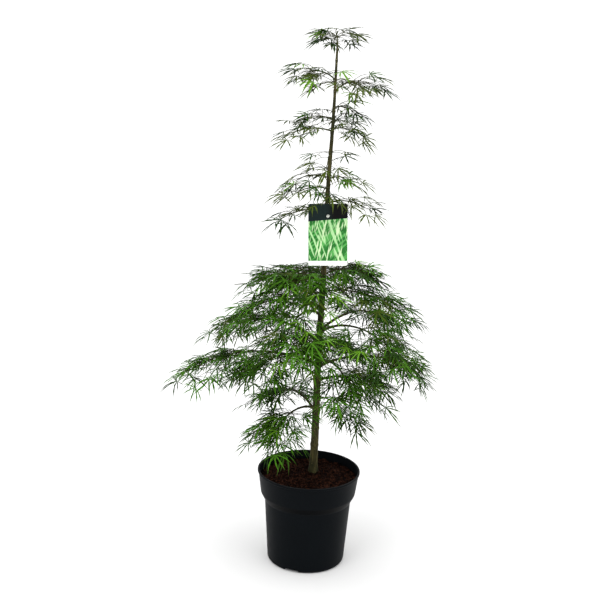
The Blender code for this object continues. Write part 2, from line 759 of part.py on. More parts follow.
def make_label():
    """A flat card with rounded corners and one punched hole near its top edge."""
    right = LABEL_WIDTH / 2 - LABEL_CORNER
    top = HOLE_DROP - LABEL_CORNER
    bottom = HOLE_DROP - LABEL_HEIGHT + LABEL_CORNER
    outline = []
    for i, centre in enumerate(((right, top), (-right, top), (-right, bottom), (right, bottom))):
        outline += circle(LABEL_CORNER, LABEL_CORNER_STEPS, 90 * i, 90, centre)
    card = object_from("label_card", *slab(outline, LABEL_THICKNESS), "label_card")
    hole = circle(HOLE_RADIUS, HOLE_SIDES, 0, 360)[:-1]
    cut(card, [object_from("hole_cutter", *slab(hole, LABEL_STANDOFF / 2), "label_card")])
    return card


def make_tie():
    """One strand from a bead in front of the card, through its hole, round the trunk and back again."""
    height = LABEL_TOP - HOLE_DROP
    trunk = trunk_centre(height)
    hole, card = trunk.x + LABEL_ASIDE, trunk.y - LABEL_STANDOFF
    strand = [Vector((hole + TIE_HALF_GAP, y, height)) for y in (card - TIE_FRONT, card + TIE_BACK)]
    loop_radius = trunk_radius(height) + TIE_RADIUS + CLEARANCE * 2
    facing = math.degrees(math.atan2(-LABEL_STANDOFF, LABEL_ASIDE))
    loop = circle(loop_radius, TIE_STEPS, facing + TIE_OPENING / 2, 360 - TIE_OPENING, trunk)
    line = strand + [Vector((x, y, height)) for x, y in loop]
    line += [Vector((2 * hole - p.x, p.y, p.z)) for p in reversed(strand)]
    tie = object_from("label_tie", *tube(line, [TIE_RADIUS] * len(line), TIE_SIDES), "label_tie")
    beads = bpy.data.collections.new("label_tie_beads")
    bpy.context.scene.collection.children.link(beads)
    work = bmesh.new()
    bmesh.ops.create_icosphere(work, subdivisions=1, radius=TIE_BEAD_RADIUS)
    bead = [v.co + Vector((hole, card - TIE_FRONT, height)) for v in work.verts]
    object_from("bead", bead, [tuple(v.index for v in f.verts) for f in work.faces], "label_tie", beads)
    work.free()
    join(tie, beads)
    return tie


# ------------------------------------------------------------------ assembly
def add_guard(space, name, obj):
    """Keeps later twigs and leaves off a finished piece: its own mesh, each point moved out a little."""
    points = [v.co + v.normal * GUARD for v in obj.data.vertices]
    space.add(name, points, [tuple(p.vertices) for p in obj.data.polygons])


def off_bough(line):
    """The line of a stem that carries a bough on, moved clear of the bough's tip."""
    return [line[0] + (line[1] - line[0]).normalized() * CLEARANCE] + line[1:]


def off_trunk(line, radius, bark):
    """The line of a stem that leaves the trunk. Its end is moved in until it is just clear of the bark."""
    out = (line[1] - line[0]).normalized()
    start = line[0] + out * (trunk_radius(line[0].z) + radius) * 2
    for _ in range(SETTLE_STEPS):
        end = tube([start, line[1]], (radius, radius), TWIG_SIDES)[0][:TWIG_SIDES]
        middles = [a.lerp(b, 0.5) for a, b in zip(end, end[1:] + end[:1])]
        gap = min(bark.find_nearest(point)[3] for point in end + middles + [start])
        start -= out * (gap - CLEARANCE)
    return [start] + line[1:]


def main():
    clear_scene()
    space = Space()
    add_guard(space, "pot", make_pot())
    add_guard(space, "compost", make_compost())
    add_guard(space, "trunk", object_from("trunk", *trunk_mesh(), "maple_bark", smooth=True))
    bark = BVHTree.FromPolygons(*trunk_mesh())
    add_guard(space, "label_card", make_label())
    add_guard(space, "label_tie", make_tie())

    stems = []
    for seed, limb in enumerate(BOUGHS, BOUGH_SEED):
        line = limb_line(limb, seed, BOUGH_STEPS + STEM_STEPS)
        add_guard(space, "bough_" + limb.name, make_bough("bough_" + limb.name, line[:BOUGH_STEPS + 1]))
        stems.append((limb, off_bough(line[BOUGH_STEPS:]), BOUGH_TIP_RADIUS, seed))
    for seed, limb in enumerate(TRUNK_SPRAYS, SPRAY_SEED):
        line = limb_line(limb, seed, STEM_STEPS)
        stems.append((limb, off_trunk(line, SMALL_STEM_RADIUS, bark), SMALL_STEM_RADIUS, seed))
    start = Vector(TRUNK_TOP) + Vector((0.0, 0.0, CLEARANCE * 3))
    leader = arching_path(start, LEADER.azimuth, LEADER.reach, LEADER.rise, LEADER.droop, 0, STEM_STEPS)
    stems.append((LEADER, leader, SMALL_STEM_RADIUS, LEADER_SEED))

    grown = []
    for limb, line, radius, seed in stems:
        name = "foliage_" + limb.name
        radii = tapered(radius, STEM_TIP_RADIUS, len(line))
        space.add(name + STEM_OWNER, *tube(line, radii, TWIG_SIDES, GUARD))
        grown.append((name, line, radii, limb.width, seed))
    for mass in grown:
        count = make_mass(*mass, space)
        print(f"{mass[0]}: {count} leaves")


main()
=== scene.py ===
"""Looks of a potted Japanese maple of the laced-leaf kind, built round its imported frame.

Laid out as a Blender add-on and run as a script. Units are metres, +Z is up and -Y is the front.
"""

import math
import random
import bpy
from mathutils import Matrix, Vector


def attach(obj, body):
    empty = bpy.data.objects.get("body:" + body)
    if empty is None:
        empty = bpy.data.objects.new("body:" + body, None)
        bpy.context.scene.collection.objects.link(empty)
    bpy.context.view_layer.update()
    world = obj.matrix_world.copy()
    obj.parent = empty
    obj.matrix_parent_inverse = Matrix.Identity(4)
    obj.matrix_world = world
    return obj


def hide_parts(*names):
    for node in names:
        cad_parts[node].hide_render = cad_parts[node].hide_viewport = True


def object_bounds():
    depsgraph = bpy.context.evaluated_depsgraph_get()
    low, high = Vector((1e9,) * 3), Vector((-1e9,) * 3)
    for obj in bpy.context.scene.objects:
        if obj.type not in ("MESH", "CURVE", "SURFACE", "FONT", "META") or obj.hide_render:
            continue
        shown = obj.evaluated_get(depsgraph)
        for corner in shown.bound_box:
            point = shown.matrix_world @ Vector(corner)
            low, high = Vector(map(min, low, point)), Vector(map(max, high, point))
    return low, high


bl_info = {
    "name": "Potted laced-leaf maple",
    "version": (1, 0, 0),
    "blender": (4, 5, 0),
    "location": "3D View > Sidebar > Maple",
    "description": "Builds the bark, twigs, leaves, label, compost, pot and stage of a potted maple",
    "category": "Add Mesh",
}

from collections import namedtuple

import bpy
import numpy as np
from bpy.props import FloatProperty, FloatVectorProperty, IntProperty, PointerProperty
from mathutils import Matrix, Vector

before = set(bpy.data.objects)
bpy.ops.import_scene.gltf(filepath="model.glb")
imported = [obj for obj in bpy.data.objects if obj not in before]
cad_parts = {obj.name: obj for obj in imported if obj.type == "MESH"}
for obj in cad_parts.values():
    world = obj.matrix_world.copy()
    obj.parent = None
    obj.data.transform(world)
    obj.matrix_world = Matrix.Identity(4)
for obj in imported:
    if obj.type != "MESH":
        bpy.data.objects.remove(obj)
CAD_BOX = [list(corner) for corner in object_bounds()]
LIMB_NODES = [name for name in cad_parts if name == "trunk" or name.startswith("bough_")]

# ------------------------------------------------------------------ the plan, as in the plant's source
POT_HEIGHT = 0.198
RIM_RADIUS = 0.105
COLLAR_TOP_RADIUS = 0.1032
COLLAR_FOOT_RADIUS = 0.0975
COLLAR_FOOT_HEIGHT = 0.150
BODY_TOP_RADIUS = 0.0885
BODY_TOP_HEIGHT = 0.133
BODY_FOOT_RADIUS = 0.0795
HEEL_RADIUS = 0.008
LIP_HEIGHT = 0.005
WALL = 0.0018
NOTCH_COUNT = 3
NOTCH_HALF_ANGLE = 12.0
NOTCH_HEIGHT = 0.006
NOTCH_DEPTH = 0.016
NOTCH_AZIMUTH = -112.0

COMPOST_TOP = 0.186
CLEARANCE = 0.0003

TRUNK_FOOT = (0.0085, 0.020)
TRUNK_TOP = (0.0215, 0.017, 1.052)
TRUNK_FOOT_RADIUS = 0.0082
TRUNK_TOP_RADIUS = 0.0021
TRUNK_TAPER_POWER = 1.15
FLARE_RADIUS = 0.0032
FLARE_FADE = 0.014
FLARE_ROOTS = 5
FLARE_RIB = 0.3
TRUNK_BOW = 0.0022
TRUNK_WAVE = 0.0008
TRUNK_WAVES = 2.6
TRUNK_WANDER_BACK = 0.6

BOUGH_STEPS = 4
BOUGH_TIP_RADIUS = 0.0021
BOUGH_TAPER = 0.011
LIMB_SWAY = 16.0
STEM_STEPS = 6
STEM_TIP_RADIUS = 0.0009
SMALL_STEM_RADIUS = 0.0016
SHOOT_STEPS = 2
SHOOT_RADIUS = 0.0009
SHOOT_TIP_RADIUS = 0.0006
SHOOT_SPREAD = 52.0
SHOOT_SWAY = 14.0
SHOOT_LIFT = 6.0
SHOOT_DROOP = 30.0
LIFT_STRAY = 16.0
SHORT_SHOOT = 0.036
FULLEST_SHARE = 0.4
FULLNESS = 1.1
FULLNESS_FADE = 0.45
SPREAD_RANGE = (0.82, 1.15)
SHOOT_RANGE = (0.85, 1.15)
NODE_STEP = 0.3
ROOT_SINK = 0.0020

LEAF_LENGTH = 0.054
TOP_LEAF_LENGTH = 0.041
STALK_LENGTH = 0.026
TOP_STALK_LENGTH = 0.034
STALK_SPREAD = 58.0
STALK_RANGE = (0.8, 1.25)
LEAF_RANGE = (0.84, 1.08)
AZIMUTH_STRAY = 18.0
PITCH_STRAY = 20.0
ROLL_STRAY = 30.0
LEAF_DROP = 9.0
TOP_LEAF_DROP = 7.0
BLADE_LEVEL = 0.5
LEAF_REACH = 0.066
SKIRT_TOP = 0.58
CROWN_TOP = 0.92

# A limb's name, height of its fork on the trunk, azimuth, reach of its furthest leaf tips from the
# trunk, degrees above level at the fork, degrees below level at the tip, and the sideways width of
# the foliage on it. Azimuth 0 is +X and 90 is +Y.
Limb = namedtuple("Limb", "name height azimuth reach rise droop width")

# Main boughs, each with a mass that carries it on.
BOUGHS = (
    Limb("low_front_left", 0.322, 230, 0.166, 34, 58, 0.048),
    Limb("low_right", 0.384, 346, 0.194, 28, 24, 0.034),
    Limb("low_back", 0.314, 124, 0.205, 34, 46, 0.054),
    Limb("fork_left", 0.418, 178, 0.318, 24, 36, 0.072),
    Limb("fork_right", 0.414, 8, 0.256, 28, 36, 0.070),
    Limb("fork_front", 0.424, 292, 0.215, 32, 48, 0.062),
    Limb("fork_back", 0.402, 76, 0.260, 32, 48, 0.074),
    Limb("fork_left_back", 0.466, 154, 0.270, 32, 40, 0.068),
    Limb("fork_left_front", 0.432, 214, 0.215, 30, 38, 0.060),
    Limb("high_right_front", 0.486, 318, 0.232, 40, 46, 0.066),
    Limb("high_right_back", 0.490, 40, 0.245, 32, 42, 0.064),
    Limb("high_left_front", 0.522, 242, 0.222, 36, 52, 0.064),
)

# Masses whose stem grows straight from the trunk.
TRUNK_SPRAYS = (
    Limb("skirt_left", 0.540, 190, 0.224, 28, 44, 0.056),
    Limb("skirt_right", 0.572, 354, 0.210, 14, 44, 0.052),
    Limb("skirt_back", 0.568, 96, 0.205, 40, 46, 0.056),
    Limb("skirt_front", 0.478, 262, 0.190, 34, 50, 0.052),
    Limb("shoulder_left", 0.590, 168, 0.188, 30, 46, 0.046),
    Limb("shoulder_left_front", 0.590, 216, 0.160, 34, 42, 0.044),
    Limb("shoulder_right", 0.608, 20, 0.150, 24, 38, 0.042),
    Limb("shoulder_front", 0.580, 254, 0.135, 36, 54, 0.042),
    Limb("low_front_right", 0.350, 322, 0.134, 12, 50, 0.020),
    Limb("tier1_left", 0.742, 188, 0.138, 0, 22, 0.026),
    Limb("tier1_left_front", 0.780, 206, 0.124, 20, 28, 0.026),
    Limb("tier1_right", 0.752, 346, 0.134, 24, 30, 0.018),
    Limb("tier1_back", 0.735, 84, 0.110, 34, 38, 0.022),
    Limb("tier2_left", 0.802, 172, 0.118, 18, 36, 0.032),
    Limb("tier2_front", 0.778, 262, 0.080, 46, 54, 0.014),
    Limb("tier2_right", 0.800, 12, 0.096, 24, 14, 0.012),
    Limb("tier2_back", 0.812, 106, 0.100, 30, 36, 0.018),
    Limb("tier3_left", 0.893, 194, 0.138, 18, 18, 0.028),
    Limb("tier3_right", 0.896, 350, 0.090, 30, 24, 0.022),
    Limb("tier3_front", 0.850, 268, 0.076, 30, 50, 0.012),
    Limb("tier4_left", 0.914, 158, 0.100, 26, 30, 0.018),
    Limb("tier4_right", 0.938, 24, 0.080, 26, 32, 0.016),
    Limb("tier4_back", 0.905, 78, 0.098, 34, 38, 0.022),
    Limb("tier5_left", 0.990, 182, 0.116, 48, 12, 0.038),
    Limb("tier5_right", 0.968, 352, 0.118, 58, 24, 0.040),
    Limb("tier5_back", 0.978, 98, 0.092, 40, 30, 0.018),
)
LEADER = Limb("leader", TRUNK_TOP[2], 96, 0.055, 70, 42, 0.030)
BOUGH_SEED = 1700
SPRAY_SEED = 4100
LEADER_SEED = 4099

LABEL_WIDTH = 0.077
LABEL_HEIGHT = 0.124
LABEL_THICKNESS = 0.0007
LABEL_TOP = 0.753
LABEL_STANDOFF = 0.012
LABEL_ASIDE = 0.0030
LABEL_TILT = -2.2
HOLE_DROP = 0.024

# ------------------------------------------------------------------ finer growth, in this script only
# Masses that fork below this height are filled out: with shoots at the joints that the source leaves
# bare, with leaves at these shares of each shoot's first half, and with single leaves on top of the
# stem at these shares of each joint. Masses above it get fewer single leaves, and a crowded tier none.
FULL_BELOW = 0.65
SHOOT_JOINTS = (0.2, 0.47, 0.74, 1.0)
STEM_JOINTS = (0.1, 0.4, 0.7)
TOP_STEM_JOINTS = (0.5,)
CROWDED_TIER = (0.76, 0.86)
# Single leaves turn this far to either side of their stem, and rise this far above level at most.
TOP_SPREAD = 70.0
TOP_LIFT = 6.0
# Start of the finer growth's random draws; each mass adds its own seed to it.
FINE_SEED = 9000
# A twig's tube: steps from one point of its line to the next, and sides of a stem and of a shoot
TWIG_STEPS = 5
STEM_SIDES = 7
SHOOT_SIDES = 6
# A leaf stalk's tube: points along it, sides, its radius at both ends, and its arch, as shares
STALK_POINTS = 5
STALK_SIDES = 4
STALK_TAPER = (1.25, 0.9)
STALK_ARCH = 0.12

# How far a leaf's midribs keep from the trunk, the label's faces, its sides, the pot and the compost
TRUNK_ROOM = 0.0015
LABEL_ROOM = 0.003
LABEL_SIDE_ROOM = 0.004
WALL_ROOM = 0.002
COMPOST_ROOM = 0.003
# From this height above the label's hole, leaves may hang in front of it
LABEL_LEAF_TOP = 0.004
# How far midribs may pass the plant's box
BOX_ROOM = 0.004

# Each lobe of a leaf: its angle from the leaf's own direction in degrees, and its share of its length
LOBES = ((-112, 0.52), (-72, 0.80), (-35, 0.95), (0, 1.0), (35, 0.95), (72, 0.80), (112, 0.52))
# How lobes differ: the spread of their angle in degrees, and the ranges of their length and sag
LOBE_STRAY = 7
LOBE_RANGE = (0.78, 1.08)
SAG_RANGE = (0.3, 1.7)
# Along a lobe: distance of the midrib's point, distance of the edge's point, half width, all as
# shares of the lobe's length. Every second edge point is a tooth, and leans forward.
LOBE_STATIONS = (
    (0.00, 0.00, 0.014),
    (0.18, 0.30, 0.058),
    (0.34, 0.38, 0.038),
    (0.50, 0.62, 0.058),
    (0.70, 0.74, 0.028),
    (1.00, 1.00, 0.000),
)

# The greens of the sprays, and how often each is drawn: above one height, above the next, and below
# both deep inside the crown, with what changes from there to this distance from the plant's axis.
GREENS = ("deep_green", "mid_green", "fresh_green", "lime_green", "olive_green")
TOP_GREENS_ABOVE = 0.66
TOP_GREENS = (0.30, 0.16, 0.03, 0.03, 0.48)
SHOULDER_GREENS_ABOVE = 0.50
SHOULDER_GREENS = (0.14, 0.42, 0.32, 0.06, 0.06)
# Deep green stands for shaded sprays: drawing it more often inside the crown than outside is painted
# shade. Otherwise the greens differ from spray to spray.
INNER_GREENS = (0.22, 0.48, 0.24, 0.02, 0.04)
OUTER_CHANGE = (-0.10, 0.00, 0.04, 0.04, 0.02)
OUTER_DISTANCE = 0.20


# ------------------------------------------------------------------ meshes and pieces
def mesh_from(name, points, faces, uv=None, smooth=True):
    """A mesh from an array of points and a list of index arrays, one array per number of corners."""
    mesh = bpy.data.meshes.new(name)
    points = np.asarray(points, dtype=np.float32).reshape(-1, 3)
    faces = [np.asarray(group, dtype=np.int32) for group in faces if len(group)]
    corners = np.concatenate([group.ravel() for group in faces])
    totals = np.concatenate([np.full(len(group), group.shape[1], np.int32) for group in faces])
    starts = np.concatenate([[0], np.cumsum(totals)[:-1]]).astype(np.int32)
    mesh.vertices.add(len(points))
    mesh.vertices.foreach_set("co", points.ravel())
    mesh.loops.add(len(corners))
    mesh.loops.foreach_set("vertex_index", corners)
    mesh.polygons.add(len(totals))
    mesh.polygons.foreach_set("loop_start", starts)
    mesh.polygons.foreach_set("loop_total", totals)
    mesh.polygons.foreach_set("use_smooth", np.full(len(totals), smooth))
    if uv is not None:
        layer = mesh.uv_layers.new(name="run")
        layer.data.foreach_set("uv", np.asarray(uv, dtype=np.float32).reshape(-1, 2)[corners].ravel())
    mesh.update(calc_edges=True)
    mesh.validate()
    return mesh


def add_piece(name, mesh, material, replaced=()):
    """Shows a finished mesh as a piece of the plant that rides with its only body."""
    piece = bpy.data.objects.new(name, mesh)
    bpy.context.scene.collection.objects.link(piece)
    mesh.materials.append(material)
    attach(piece, "root")
    if replaced:
        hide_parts(*replaced)
    return piece


def dress(node, material):
    """Gives a node that keeps its own shape a new finish."""
    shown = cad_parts[node]
    shown.data.materials.clear()
    shown.data.materials.append(material)


def grid_faces(rows, columns, closed):
    """Quads of a grid of points, row after row. A closed grid joins its last column to its first."""
    width = columns if closed else columns - 1
    row, column = np.meshgrid(np.arange(rows - 1), np.arange(width), indexing="ij")
    following = (column + 1) % columns
    low, high = row * columns, (row + 1) * columns
    return np.stack([low + column, low + following, high + following, high + column], -1).reshape(-1, 4)


def fan(ring, hub, turned=False):
    """Triangles from each side of a closed ring of points to a hub. Turned ones face the other way."""
    sides = (np.roll(ring, -1), ring) if turned else (ring, np.roll(ring, -1))
    return np.stack([*sides, np.full(len(ring), hub)], -1)


def unit(vectors):
    """Each vector divided by its length."""
    return vectors / np.maximum(np.linalg.norm(vectors, axis=-1, keepdims=True), 1e-12)


def headings(azimuth, pitch):
    """Unit vectors from arrays of azimuths and pitches in degrees."""
    turn, lift = np.radians(azimuth), np.radians(pitch)
    return np.stack([np.cos(turn) * np.cos(lift), np.sin(turn) * np.cos(lift), np.sin(lift)], -1)


def smooth_line(line, times):
    """A Catmull-Rom curve through a line's points, with that many steps from one point to the next.

    Between points b and c, with neighbours a and d and a share s of the way, the curve is half of
    2b + (c - a)s + (2a - 5b + 4c - d)s^2 + (3b - a - 3c + d)s^3.
    """
    line = np.array([tuple(point) for point in line])
    padded = np.concatenate([[2 * line[0] - line[1]], line, [2 * line[-1] - line[-2]]])
    a, b, c, d = (padded[i:i + len(line) - 1, None] for i in range(4))
    s = (np.arange(times) / times)[:, None]
    curve = 2 * b + (c - a) * s + (2 * a - 5 * b + 4 * c - d) * s ** 2
    curve = curve + (3 * b - a - 3 * c + d) * s ** 3
    return np.concatenate([(curve / 2).reshape(-1, 3), line[-1:]])


def swept(lines, radii, sides, across):
    """Tubes along lines: a ring at that radius round each point, and a point that closes each end.

    The ring starts from the vector given as across, made square to the line, and goes round through
    the line's direction crossed with it. There is one radius for each point of a line, or one for each
    side of each ring. Returns points, quads and end triangles.
    """
    count, steps = lines.shape[:2]
    ahead = unit(np.gradient(lines, axis=1))
    across = np.broadcast_to(np.asarray(across, dtype=float), lines.shape)
    side = unit(across - ahead * np.sum(across * ahead, -1, keepdims=True))
    other = np.cross(ahead, side)
    turn = np.arange(sides) * math.tau / sides
    ring = side[:, :, None] * np.cos(turn)[:, None] + other[:, :, None] * np.sin(turn)[:, None]
    radii = np.asarray(radii, dtype=float)
    radii = radii[..., None, None] if radii.ndim == 2 else radii[..., None]
    rings = (lines[:, :, None] + ring * radii).reshape(count, -1, 3)
    ends = np.stack([lines[:, 0], lines[:, -1]], axis=1)
    points = np.concatenate([rings, ends], axis=1)
    size = points.shape[1]
    quads = grid_faces(steps, sides, closed=True)
    first = np.arange(sides)
    last = first + (steps - 1) * sides
    caps = np.concatenate([fan(first, size - 2, turned=True), fan(last, size - 1)])
    shift = (np.arange(count) * size)[:, None, None]
    return points.reshape(-1, 3), (quads + shift).reshape(-1, 4), (caps + shift).reshape(-1, 3)


def merged(parts):
    """Several sets of points, quads and triangles as one, with the indices moved on."""
    points, quads, triangles, start = [], [], [], 0
    for p, q, t in parts:
        points.append(p)
        quads.append(q + start)
        triangles.append(t + start)
        start += len(p)
    return np.concatenate(points), np.concatenate(quads), np.concatenate(triangles)


# ------------------------------------------------------------------ colours and panel properties
def linear(hex_colour):
    """An sRGB hex colour as linear red, green, blue and alpha."""
    parts = [int(hex_colour[i:i + 2], 16) / 255 for i in (1, 3, 5)]
    parts = [p / 12.92 if p <= 0.04045 else ((p + 0.055) / 1.055) ** 2.4 for p in parts]
    return (*parts, 1.0)


BLACK = linear("#000000")
WHITE = linear("#ffffff")


def rgba(colour):
    """A colour property with an alpha of one."""
    return (*colour, 1.0)


def shaded(colour, factor, bloom=0.0):
    """A colour times a factor, with a little white added."""
    return rgba(part * factor + bloom for part in colour[:3])


def colour_property(name, description, hex_colour):
    """A colour that the panel shows, with its default given as an sRGB hex colour."""
    return FloatVectorProperty(name=name, description=description, default=linear(hex_colour)[:3],
                               subtype="COLOR", size=3, min=0.0, max=1.0)


def number_property(name, description, default, unit="NONE"):
    """A number that the panel shows, with its unit."""
    return FloatProperty(name=name, description=description, default=default, unit=unit)


# ------------------------------------------------------------------ materials
# A noise's grain is about one over its scale in metres: 900 gives grains of 1.1 mm, and 14 of 70 mm.

# What darkens or lightens a base colour: the pot's haze, the painted shade in the crease under its
# collar, and a leaf's patches and bloom
HAZE_LIGHT = 1.7
CREASE_PAINTED_SHADE = 0.3
LEAF_DARK = 0.45
LEAF_LIGHT = 1.5
LEAF_BLOOM = 0.003
# Heights on the pot where the painted shade of the crease under its collar starts, is full, and ends
PAINTED_SHADE_BAND = (0.1345, 0.1375, 0.1475, 0.1505)
# The print's edges below the label's hole: the band's lower edge, its slope, and the pale foot's top
BAND_EDGE = -0.008
BAND_SLOPE = 0.09
FOOT_EDGE = -0.0905
# Where across the card the band turns from its own colour to black
BAND_FADE = (-0.004, 0.012)
# The print's layers of blades: lean in radians, scale across them, and the noise where they start
BLADES = ((0.85, 170.0, 0.50), (-0.35, 180.0, 0.53), (0.2, 230.0, 0.57))
BLADE_STRETCH = 10
BLADE_EDGE = 0.06

# The inputs of a Mix node that mixes colours, and the output that fill_inputs takes from a node: the
# first one, except for these kinds.
FACTOR, FIRST, SECOND = 0, 6, 7
MAIN_OUTPUTS = {"ShaderNodeMix": 2, "ShaderNodeTexCoord": "Object"}


def fill_inputs(tree, node, inputs):
    """Fills a node's inputs with values, with other nodes' main outputs or with sockets."""
    for key, value in inputs.items():
        if isinstance(value, bpy.types.Node):
            value = value.outputs[MAIN_OUTPUTS.get(value.bl_idname, 0)]
        if isinstance(value, bpy.types.NodeSocket):
            tree.links.new(value, node.inputs[key])
        else:
            node.inputs[key].default_value = value


def add_node(tree, kind, inputs=None, stops=(), **settings):
    """Adds a node with its settings, its inputs and, on a colour ramp, its stops: share and colour."""
    node = tree.nodes.new("ShaderNode" + kind)
    for key, value in settings.items():
        setattr(node, key, value)
    if stops:
        elements = node.color_ramp.elements
        while len(elements) < len(stops):
            elements.new(0.5)
        for element, (place, colour) in zip(elements, stops):
            element.position = place
            element.color = colour
    fill_inputs(tree, node, inputs or {})
    return node


def new_finish(name):
    """A material that is no metal, with its node tree and its Principled shader."""
    material = bpy.data.materials.new(name)
    material.use_nodes = True
    shader = material.node_tree.nodes["Principled BSDF"]
    shader.inputs["Metallic"].default_value = 0.0
    return material, material.node_tree, shader


def moulded_polypropylene(base):
    """Black polypropylene, injection moulded: satin, with a soft haze of handling and dust.

    Shade is painted into the crease under the collar: the colour is darker there, by its height on the
    pot.
    The mould's grain is about 1 mm, coarser than the real grain so that it shows.
    """
    material, tree, shader = new_finish("moulded_polypropylene")
    place = add_node(tree, "TexCoord")
    haze = {"Vector": place, "Scale": 14.0, "Detail": 4.0, "Roughness": 0.6}
    haze = add_node(tree, "TexNoise", haze)
    colour = add_node(tree, "Mix", {FACTOR: haze, FIRST: base, SECOND: shaded(base, HAZE_LIGHT)},
                      data_type="RGBA")
    height = add_node(tree, "SeparateXYZ", {"Vector": place}).outputs["Z"]
    height = add_node(tree, "MapRange", {"Value": height, "From Max": POT_HEIGHT})
    # Painted shade: the colour is multiplied darker over a band of heights under the collar, where the
    # crease is in shadow.
    dark = rgba((CREASE_PAINTED_SHADE,) * 3)
    stops = [(edge / POT_HEIGHT, shade) for edge, shade in zip(PAINTED_SHADE_BAND, (WHITE, dark, dark, WHITE))]
    crease = add_node(tree, "ValToRGB", {"Fac": height}, stops)
    colour = add_node(tree, "Mix", {FACTOR: 1.0, FIRST: colour, SECOND: crease},
                      data_type="RGBA", blend_type="MULTIPLY")
    gloss = add_node(tree, "MapRange", {"Value": haze, "To Min": 0.40, "To Max": 0.58})
    grain = add_node(tree, "TexNoise", {"Vector": place, "Scale": 900.0, "Detail": 2.0})
    relief = add_node(tree, "Bump", {"Height": grain, "Strength": 0.25, "Distance": 0.0001})
    fill_inputs(tree, shader, {"Base Color": colour, "Roughness": gloss, "Normal": relief,
                               "IOR": 1.49, "Specular IOR Level": 0.04})
    return material


def bark_compost(dark, light):
    """Composted bark and peat: matt, dark and moist, with paler fibres about 4 mm long."""
    material, tree, shader = new_finish("bark_compost")
    place = add_node(tree, "TexCoord")
    patches = {"Vector": place, "Scale": 130.0, "Detail": 5.0, "Roughness": 0.65}
    patches = add_node(tree, "TexNoise", patches)
    colour = add_node(tree, "ValToRGB", {"Fac": patches},
                      ((0.30, dark), (0.56, linear("#0b0403")), (0.78, light)))
    turned = {"Vector": place, "Rotation": (0.0, 0.0, 0.7), "Scale": (1.0, 4.0, 1.0)}
    turned = add_node(tree, "Mapping", turned)
    fibre = add_node(tree, "TexNoise", {"Vector": turned, "Scale": 260.0, "Detail": 2.0})
    fibre = add_node(tree, "ValToRGB", {"Fac": fibre}, ((0.62, BLACK), (0.74, WHITE)))
    colour = add_node(tree, "Mix", {FACTOR: fibre, FIRST: colour, SECOND: linear("#2b150d")},
                      data_type="RGBA")
    relief = add_node(tree, "Bump", {"Height": patches, "Strength": 0.7, "Distance": 0.002})
    fill_inputs(tree, shader, {"Base Color": colour, "Normal": relief,
                               "Roughness": 0.95, "Specular IOR Level": 0.02})
    return material


def chipped_bark(dark, light):
    """Chips of bark on the compost: each a little paler or darker, matt and rough."""
    material, tree, shader = new_finish("chipped_bark")
    place = add_node(tree, "TexCoord")
    tint = add_node(tree, "TexNoise", {"Vector": place, "Scale": 190.0, "Detail": 2.0})
    colour = add_node(tree, "ValToRGB", {"Fac": tint},
                      ((0.34, dark), (0.55, light), (0.78, linear("#3a2016"))))
    grain = add_node(tree, "TexNoise", {"Vector": place, "Scale": 900.0, "Detail": 3.0})
    relief = add_node(tree, "Bump", {"Height": grain, "Strength": 0.5, "Distance": 0.0006})
    fill_inputs(tree, shader, {"Base Color": colour, "Normal": relief,
                               "Roughness": 0.9, "Specular IOR Level": 0.02})
    return material


def young_bark(dark, light):
    """Young maple bark: smooth and thin, olive and brown in long streaks, with small pale pores.

    The streaks are about 2 mm wide and 30 mm long, the olive clouds 26 by 50 mm, and the pores lie
    4 mm apart round the limb and 7 mm along it.
    """
    material, tree, shader = new_finish("young_bark")
    place = add_node(tree, "TexCoord")
    long, tall, upright = (add_node(tree, "Mapping", {"Vector": place, "Scale": (1.0, 1.0, squash)})
                           for squash in (0.07, 0.5, 0.6))
    streaks = {"Vector": long, "Scale": 420.0, "Detail": 4.0, "Roughness": 0.6}
    streaks = add_node(tree, "TexNoise", streaks)
    colour = add_node(tree, "ValToRGB", {"Fac": streaks},
                      ((0.28, dark), (0.52, linear("#3f3b22")), (0.74, light)))
    clouds = add_node(tree, "TexNoise", {"Vector": tall, "Scale": 38.0, "Detail": 3.0})
    clouds = add_node(tree, "ValToRGB", {"Fac": clouds}, ((0.38, BLACK), (0.66, WHITE)))
    colour = add_node(tree, "Mix", {FACTOR: clouds, FIRST: colour, SECOND: linear("#191d0d")},
                      data_type="RGBA")
    pores = add_node(tree, "TexVoronoi", {"Vector": upright, "Scale": 230.0})
    pores = add_node(tree, "ValToRGB", {"Fac": pores}, ((0.08, WHITE), (0.15, BLACK)))
    colour = add_node(tree, "Mix", {FACTOR: pores, FIRST: colour, SECOND: linear("#7d7450")},
                      data_type="RGBA")
    relief = add_node(tree, "Bump", {"Height": streaks, "Strength": 0.55, "Distance": 0.0008})
    fill_inputs(tree, shader, {"Base Color": colour, "Normal": relief,
                               "Roughness": 0.7, "Specular IOR Level": 0.1})
    return material


def green_twig(green, brown):
    """Young twigs and leaf stalks: smooth, green going to brown, with a slight shine."""
    material, tree, shader = new_finish("green_twig")
    patches = {"Vector": add_node(tree, "TexCoord"), "Scale": 45.0, "Detail": 3.0}
    patches = add_node(tree, "TexNoise", patches)
    colour = add_node(tree, "Mix", {FACTOR: patches, FIRST: green, SECOND: brown}, data_type="RGBA")
    fill_inputs(tree, shader, {"Base Color": colour, "Roughness": 0.6, "Specular IOR Level": 0.08})
    return material


